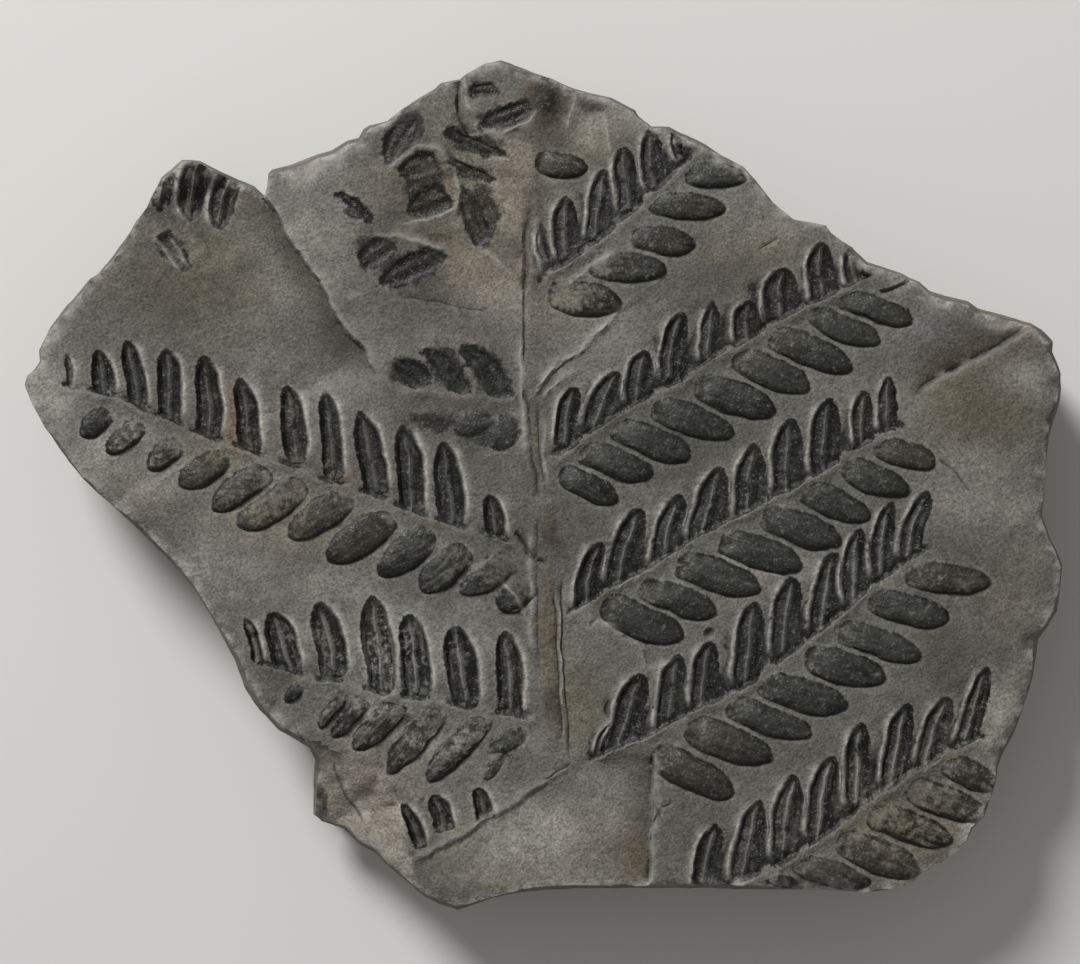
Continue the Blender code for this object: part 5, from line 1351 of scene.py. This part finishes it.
def add_underside(slab, rim_numbers, border):
    """The flat underside, with shallow flakes missing from it."""
    scatter = Scatter(border)
    scatter.offer(grid_places(border, BACK_SPACING), 0.5 * BACK_SPACING)
    places, triangles, rim = fill_border(border, scatter.chosen())
    unevenness = Unevenness(BACK_SEED)
    rough = unevenness.at(places[:, 0], places[:, 1], BACK_SIZE, layers=5)
    flakes = BACK_LEVELS * (BACK_MEAN + rough)
    whole = np.floor(flakes)
    missing = BACK_STEP * np.maximum(whole + smooth(flakes - whole, BACK_FLAT, 1.0), 0.0)
    missing += GRAIN_RISE * (1.0 + unevenness.at(places[:, 0], places[:, 1], GRAIN_SIZE, layers=3))
    numbers = np.zeros(len(places), int)
    numbers[rim] = rim_numbers
    inner = np.setdiff1d(np.arange(len(places)), rim)
    marks = {"gap": FAR, "layer": whole[inner] % 2.0}
    numbers[inner] = slab.add_vertices(places[inner], missing[inner], marks)
    back_map = BACK_MAP_CORNER + (places - CENTRE + 0.5 * OUTLINE_SIZE) * BACK_MAP_SCALE
    for triangle in triangles:
        slab.add_face([numbers[index] for index in triangle], [back_map[index] for index in triangle])


class Value:
    """A socket of a finish. Sums on it are written as Python expressions and add Math nodes."""

    def __init__(self, finish, socket):
        self.finish = finish
        self.socket = socket

    def __add__(self, other):
        return self.finish.math("ADD", self, other)

    def __radd__(self, other):
        return self.finish.math("ADD", other, self)

    def __sub__(self, other):
        return self.finish.math("SUBTRACT", self, other)

    def __rsub__(self, other):
        return self.finish.math("SUBTRACT", other, self)

    def __mul__(self, other):
        return self.finish.math("MULTIPLY", self, other)

    def __rmul__(self, other):
        return self.finish.math("MULTIPLY", other, self)


class Finish:
    """A material under construction."""

    def __init__(self, name):
        self.material = bpy.data.materials.new(name)
        self.material.use_nodes = True
        self.tree = self.material.node_tree
        self.shader = self.tree.nodes["Principled BSDF"]

    def add(self, kind, settings, sockets, output):
        """Adds a node with its settings and the values or links of its sockets. Returns one output."""
        node = self.tree.nodes.new(kind)
        for name, setting in settings.items():
            setattr(node, name, setting)
        for name, content in sockets.items():
            if isinstance(content, Value):
                self.tree.links.new(content.socket, node.inputs[name])
            else:
                node.inputs[name].default_value = content
        return Value(self, node.outputs[output])

    def math(self, operation, first, second=0.0):
        """One sum on two values."""
        return self.add("ShaderNodeMath", {"operation": operation}, {0: first, 1: second}, 0)

    def mark(self, name):
        """A value that the mesh carries."""
        return self.add("ShaderNodeAttribute", {"attribute_name": name}, {}, "Fac")

    def rise(self, value, low, high):
        """Zero below low, one above high and an even rise between."""
        sockets = {"Value": value, "From Min": low, "From Max": high}
        return self.add("ShaderNodeMapRange", {"interpolation_type": "SMOOTHSTEP"}, sockets, "Result")

    def cloud(self, place, size, detail, roughness):
        """Soft noise round one half, with features of a size in the units of the place."""
        sockets = {"Vector": place, "Scale": 1.0 / size, "Detail": detail, "Roughness": roughness}
        return self.add("ShaderNodeTexNoise", {}, sockets, "Fac")

    def stretch(self, place, factors):
        """A place multiplied along each axis."""
        return self.add("ShaderNodeVectorMath", {"operation": "MULTIPLY"}, {0: place, 1: factors}, "Vector")

    def blend(self, factor, first, second):
        """From the first colour to the second as the factor goes from zero to one."""
        sockets = {0: factor, 6: first, 7: second}
        return self.add("ShaderNodeMix", {"data_type": "RGBA"}, sockets, 2)

    def paint(self, colour, name, paint):
        """A colour with the places of a mark painted over."""
        return self.blend(COVER[name] * self.mark(name), colour, paint)

    def band(self, value, start, end):
        """One between a rise and a fall of a value."""
        return self.rise(value, *start) * (1.0 - self.rise(value, *end))

    def dim(self, colour, factor):
        """A colour made lighter or darker by a factor."""
        start = colour if isinstance(colour, Value) else colour[:3]
        sockets = {0: start, "Scale": factor}
        return self.add("ShaderNodeVectorMath", {"operation": "SCALE"}, sockets, "Vector")

    def feed(self, name, value):
        """Links a value to a socket of the shader."""
        self.tree.links.new(value.socket, self.shader.inputs[name])


class Grains:
    """Noise of several sizes that the parts of the finish share."""

    def __init__(self, finish, place):
        self.finish = finish
        self.place = place
        self.noises = {name: finish.cloud(place, *noise) for name, noise in NOISES.items()}
        self.noises["fibres"] = finish.cloud(finish.stretch(place, FIBRES), *FIBRE_NOISE)

    def centred(self, name):
        """A noise round zero."""
        return self.noises[name] - 0.5

    def varied(self, name, span=VARIED):
        """A factor round one that follows a noise."""
        return span[0] + span[1] * self.noises[name]

    def with_noise(self, value, strengths):
        """A value with centred noises added to it, each by its strength."""
        for name, strength in strengths.items():
            value = value + strength * self.centred(name)
        return value

    def patchy(self, value, kind):
        """From zero to one where a value made uneven begins and is full."""
        strengths, begin, full = PATCHY[kind]
        return self.finish.rise(self.with_noise(value, strengths), begin, full)

    def broken_up(self, kind):
        """Zero and one in patches."""
        name, low, high = BROKEN_UP[kind]
        return self.finish.rise(self.noises[name], low, high)

    def stain(self, colour, name, paint):
        """A colour with a marked stain laid over it."""
        stained = self.patchy(self.finish.mark(name), name)
        return self.finish.blend(COVER[name] * stained, colour, paint)


def bare_slate(finish, grains):
    """Colour of the split slate: grey, with clouds, stains and worn places, painted light on the chipped
    corner and painted shade beyond the ledges.
    """
    spots = grains.varied("mottle")
    yellowed = grains.patchy(finish.mark("olive") * grains.varied("clouds"), "olive")
    colour = finish.blend(yellowed, SLATE_GREY, SLATE_OLIVE)
    colour = grains.stain(colour, "cool", SLATE_COOL)
    for name, paint in (("pale", SLATE_PALE), ("pink", SLATE_PINK)):
        colour = finish.blend(finish.mark(name) * spots, colour, paint)
    colour = grains.stain(colour, "rust", RUST)
    colour = grains.stain(colour, "brown", finish.dim(BROWN, grains.varied("fibres")))
    # the chipped corner is painted pale beige: partly its own fresh colour, partly painted light on a slope
    # that faces away from the lamp
    colour = finish.paint(colour, "broken", BREAK_BEIGE_LIT)
    # painted shade: dark brown beyond the foot of each deep ledge
    colour = finish.paint(colour, "ledge_shade", FILM_BROWN)
    shade = 1.0 - COVER["shade"] * finish.mark("shade") * spots
    unrest = UNREST[0] + UNREST[1] * finish.mark("mixed") - UNREST[2] * finish.mark("broken")
    speckle = grains.centred("mottle") + SLATE_FLECKS * grains.centred("flecks")
    broad = grains.with_noise(1.0, SLATE_CLOUDS) + unrest * speckle
    fine = grains.with_noise(1.0, SLATE_GRAIN)
    return finish.dim(colour, shade * finish.math("MAXIMUM", broad, LEAST_LIGHT[0]) * fine)


def leaf_film(finish, grains):
    """Colour of the dark film on a leaflet, with lengthwise streaks and light specks, painted shade in
    troughs and a painted highlight on the rib.
    """
    along, apart = STREAK_PLACES
    aside = finish.mark("side") * (1.0 / FILM_LINE_SPACING)
    lengthwise = {0: aside, 1: along * finish.mark("part"), 2: apart * finish.mark("tone")}
    fibres = finish.add("ShaderNodeCombineXYZ", {}, lengthwise, "Vector")
    streaks = finish.cloud(fibres, *FIBRE_NOISE) - 0.5
    hollow = finish.mark("hollow")
    foot = (1.0 - finish.mark("part")) * (1.0 - hollow)
    colour = finish.blend(finish.mark("olive") + finish.mark("brown"), FILM_DARK, FILM_BROWN)
    # painted shade: the film of troughs, which lie sunken, is made darker
    strength = 1.0 + FILM_TONE * finish.mark("tone") + FILM_FOOT * foot - TROUGH_SHADE * hollow
    strength = grains.with_noise(strength, FILM_GRAIN) + FILM_STREAKS * streaks
    middle = MIDDLE_LIGHT[0] + MIDDLE_LIGHT[1] * finish.rise(finish.mark("gap"), *MIDDLE_GAPS)
    colour = finish.dim(colour, finish.math("MAXIMUM", strength, LEAST_LIGHT[1]) * middle)
    specks = grains.noises["grit"] + SPECK_DUST * grains.noises["dust"]
    colour = finish.blend(COVER["speck"] * finish.rise(specks, *SPECK_SPAN), colour, RIB_GREY)
    stripes = finish.mark("striped") * grains.patchy(streaks, "stripe")
    stripe_colour = finish.dim(RIB_GREY, grains.varied("grit", STRIPE_VARIED))
    colour = finish.blend(COVER["stripe"] * stripes, colour, stripe_colour)
    # painted highlight: the rib along a trough's floor is painted lighter on its crest
    rib = finish.rise(finish.mark("rib"), *RIB_SPAN) * grains.broken_up("rib")
    cover = COVER["rib"] + COVER["ribbed"] * finish.mark("ribbed")
    return finish.blend(cover * rib, colour, RIB_GREY)


def film_cover(finish, grains):
    """How fully the film covers the slate: crisp at a leaflet's outline and thin on bare places, with
    painted shade over the web and foot groove of troughs and in one soot patch.
    """
    torn = finish.mark("torn")
    gap = finish.mark("gap")
    hollow = finish.mark("hollow")
    ragged = grains.with_noise(gap, {"grit": RAGGED})
    ragged = ragged + (RAGGED + TORN_RAGGED * torn) * grains.centred("flecks")
    ragged = ragged * (1.0 - TORN_SPREAD * torn) - HOLLOW_SPREAD * hollow
    inside = 1.0 - finish.rise(ragged, *FILM_EDGE)
    # painted shade: the film also spreads over the web between neighbouring troughs and into the groove at
    # their feet, where their shadow lies
    shaded_web = grains.patchy(finish.math("MAXIMUM", finish.mark("shaded_web"), finish.mark("groove")), "shaded_web")
    inside = finish.math("MAXIMUM", inside, COVER["shaded_web"] * shaded_web)
    foot = (1.0 - finish.rise(finish.mark("part"), *THIN_FOOT)) * (1.0 - hollow)
    centre = CENTRE_THINNESS[0] + CENTRE_THINNESS[1] * finish.rise(gap, *CENTRE_GAPS)
    thin = centre * finish.mark("bare") + FOOT_THINNESS * foot
    film = inside * (1.0 - grains.patchy(thin, "thin"))
    # soot patches lay film over the slate; one of them is painted shadow
    return finish.math("MAXIMUM", film, COVER["soot_and_shadow"] * grains.patchy(finish.mark("soot_and_shadow"), "soot_and_shadow"))


def side_slate(finish, grains):
    """Colour of the broken sides, in thin layers."""
    layers = finish.cloud(finish.stretch(grains.place, LAYERS), *LAYER_NOISE)
    colour = finish.blend(grains.broken_up("side"), SIDE_GREY, SIDE_BROWN)
    light = grains.with_noise(1.0 + SIDE_LAYERING * (layers - 0.5), SIDE_GRAIN)
    return finish.dim(colour, light), layers


def mica(finish, grains):
    """Nearness to a tiny glinting flake."""
    cells = {"Vector": grains.place, "Scale": MICA_CELLS}
    distance = finish.add("ShaderNodeTexVoronoi", {}, cells, "Distance")
    colour = finish.add("ShaderNodeTexVoronoi", {}, cells, "Color")
    chance = finish.add("ShaderNodeSeparateColor", {}, {"Color": colour}, 0)
    return (1.0 - finish.rise(distance, *MICA_SIZE)) * finish.rise(chance, *MICA_CHANCE)


def slate_finish():
    """The slab's whole finish."""
    finish = Finish("weathered_slate")
    own = finish.add("ShaderNodeTexCoord", {}, {}, "Object")
    grains = Grains(finish, finish.stretch(own, (1.0 / MM, 1.0 / MM, 1.0 / MM)))
    wall = finish.mark("wall")
    gap = finish.mark("gap")

    slate = bare_slate(finish, grains)
    slate = finish.dim(slate, 1.0 + COVER["beside"] * finish.band(gap, *BESIDE_BAND))
    stalk = finish.mark("stalk") * grains.broken_up("stalk")
    slate = finish.blend(COVER["stalk"] * stalk, slate, STALK_BROWN)

    film = film_cover(finish, grains)
    colour = finish.blend(film, slate, leaf_film(finish, grains))
    # painted shadow: a near-black line along each pillow's lower side
    under = finish.band(gap, *SHADOW_LINE_BAND) * finish.mark("under") * (1.0 - finish.mark("hollow"))
    colour = finish.blend(COVER["under"] * under, colour, CRACK_AND_SHADE_BLACK)
    # painted highlight: the rim of each trough is bare slate painted far paler, as if it caught the lamp
    rim_highlight = finish.dim(PALE_HIGHLIGHT, grains.varied("grit", RIM_VARIED))
    colour = finish.blend(finish.mark("rim") * grains.broken_up("rim"), colour, rim_highlight)
    # painted highlight along the crests of the fine ridges
    colour = finish.paint(colour, "crest", finish.dim(PALE_HIGHLIGHT, grains.varied("grit")))
    # cracks and fine dark lines painted near black: partly their own dark fill, partly painted shade in
    # their grooves and at the foot of steps
    colour = finish.paint(colour, "crack", CRACK_AND_SHADE_BLACK)
    # painted shade: the pit is painted near black
    colour = finish.paint(colour, "pit", CRACK_AND_SHADE_BLACK)
    # painted highlight along each ledge's edge
    lip = COVER["ledge"] * finish.mark("ledge") * grains.noises["flecks"]
    colour = finish.blend(lip, colour, PALE_HIGHLIGHT)
    worn = finish.mark("edge") * grains.broken_up("edge") * COVER["edge"]
    chipped = finish.mark("chip") * grains.broken_up("chip") * COVER["chip"]
    colour = finish.blend(worn + chipped, colour, finish.dim(CHIP_PALE, grains.varied("grit")))

    side_colour, layers = side_slate(finish, grains)
    colour = finish.blend(wall, colour, side_colour)
    colour = grains.stain(colour, "layer", LAYER_BROWN)
    # painted glint: tiny mica flakes are painted near white, partly their own pale colour
    glint = mica(finish, grains)
    colour = finish.blend(COVER["mica"] * glint, colour, MICA_GLINT)

    finish.feed("Base Color", colour)
    roughness = ROUGHNESS - FILM_SHINE * film - MICA_SHINE * glint
    finish.feed("Roughness", grains.with_noise(roughness, ROUGHNESS_CHANGE))
    finish.shader.inputs["Specular IOR Level"].default_value = SPECULAR

    height = DUST_HEIGHT * grains.noises["dust"] + GRIT_HEIGHT * grains.noises["grit"]
    height = height + FLECK_HEIGHT * grains.noises["flecks"] + LAYER_HEIGHT * layers * wall
    sockets = {"Height": height, "Strength": 1.0, "Distance": MM}
    finish.feed("Normal", finish.add("ShaderNodeBump", {}, sockets, "Normal"))
    return finish.material


def make_slab():
    """The slab's object, with its surface marks and its map for baking."""
    slab = build_slab()
    mesh = bpy.data.meshes.new("fern_fossil_slab_surface")
    mesh.from_pydata(np.vstack(slab.vertices), [], slab.faces)
    for name, blocks in slab.marks.items():
        mark = mesh.attributes.new(name, "FLOAT", "POINT")
        mark.data.foreach_set("value", np.concatenate(blocks).astype(np.float32))
    bake_map = mesh.uv_layers.new(name="OFBake")
    bake_map.data.foreach_set("uv", np.array(slab.map_places, np.float32).ravel())
    mesh.shade_smooth()
    mesh.set_sharp_from_angle(angle=math.radians(SHARP_ANGLE))
    mesh.materials.append(slate_finish())
    piece = bpy.data.objects.new("fern_fossil_slab_surface", mesh)
    bpy.context.scene.collection.objects.link(piece)
    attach(piece, "root")
    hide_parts(SLAB)


def make_floor():
    """A plain pale floor."""
    half = 0.5 * FLOOR_WIDTH
    mesh = bpy.data.meshes.new("floor")
    corners = [(-half, -half, 0.0), (half, -half, 0.0), (half, half, 0.0), (-half, half, 0.0)]
    mesh.from_pydata(corners, [], [(0, 1, 2, 3)])
    material = bpy.data.materials.new("floor_paint")
    material.use_nodes = True
    paint = material.node_tree.nodes["Principled BSDF"]
    paint.inputs["Base Color"].default_value = FLOOR_COLOUR
    paint.inputs["Roughness"].default_value = FLOOR_ROUGHNESS
    mesh.materials.append(material)
    floor = bpy.data.objects.new("floor", mesh)
    bpy.context.scene.collection.objects.link(floor)


def make_light():
    """A large soft lamp above the top left of the slab, and an even fill from all round."""
    lamp = bpy.data.lights.new("soft_lamp", "AREA")
    lamp.shape = "DISK"
    lamp.size = LAMP_SIZE
    lamp.energy = LAMP_POWER
    turn = math.radians(LAMP_TURN)
    rise = math.radians(LAMP_RISE)
    towards = Vector((math.cos(turn) * math.cos(rise), math.sin(turn) * math.cos(rise), math.sin(rise)))
    holder = bpy.data.objects.new("soft_lamp", lamp)
    holder.location = towards * LAMP_DISTANCE
    holder.rotation_euler = towards.to_track_quat("Z", "Y").to_euler()
    bpy.context.scene.collection.objects.link(holder)
    world = bpy.data.worlds.new("studio")
    world.use_nodes = True
    sky = world.node_tree.nodes["Background"]
    sky.inputs["Color"].default_value = FILL_COLOUR
    sky.inputs["Strength"].default_value = FILL_STRENGTH
    bpy.context.scene.world = world


def make_camera():
    """A camera looking straight down on the face."""
    camera = bpy.data.cameras.new("camera")
    camera.lens = LENS
    camera.sensor_width = SENSOR_WIDTH
    camera.clip_start = CLIP_START
    holder = bpy.data.objects.new("camera", camera)
    distance = VIEW_WIDTH * LENS / SENSOR_WIDTH
    aim_x = (VIEW_CENTRE[0] - CENTRE[0]) * MM
    aim_y = (CENTRE[1] - VIEW_CENTRE[1]) * MM
    holder.location = (aim_x, aim_y, (FACE_HEIGHT + distance) * MM)
    bpy.context.scene.collection.objects.link(holder)
    bpy.context.scene.camera = holder


make_slab()
make_floor()
make_light()
make_camera()
bpy.context.scene.view_settings.view_transform = "Standard"
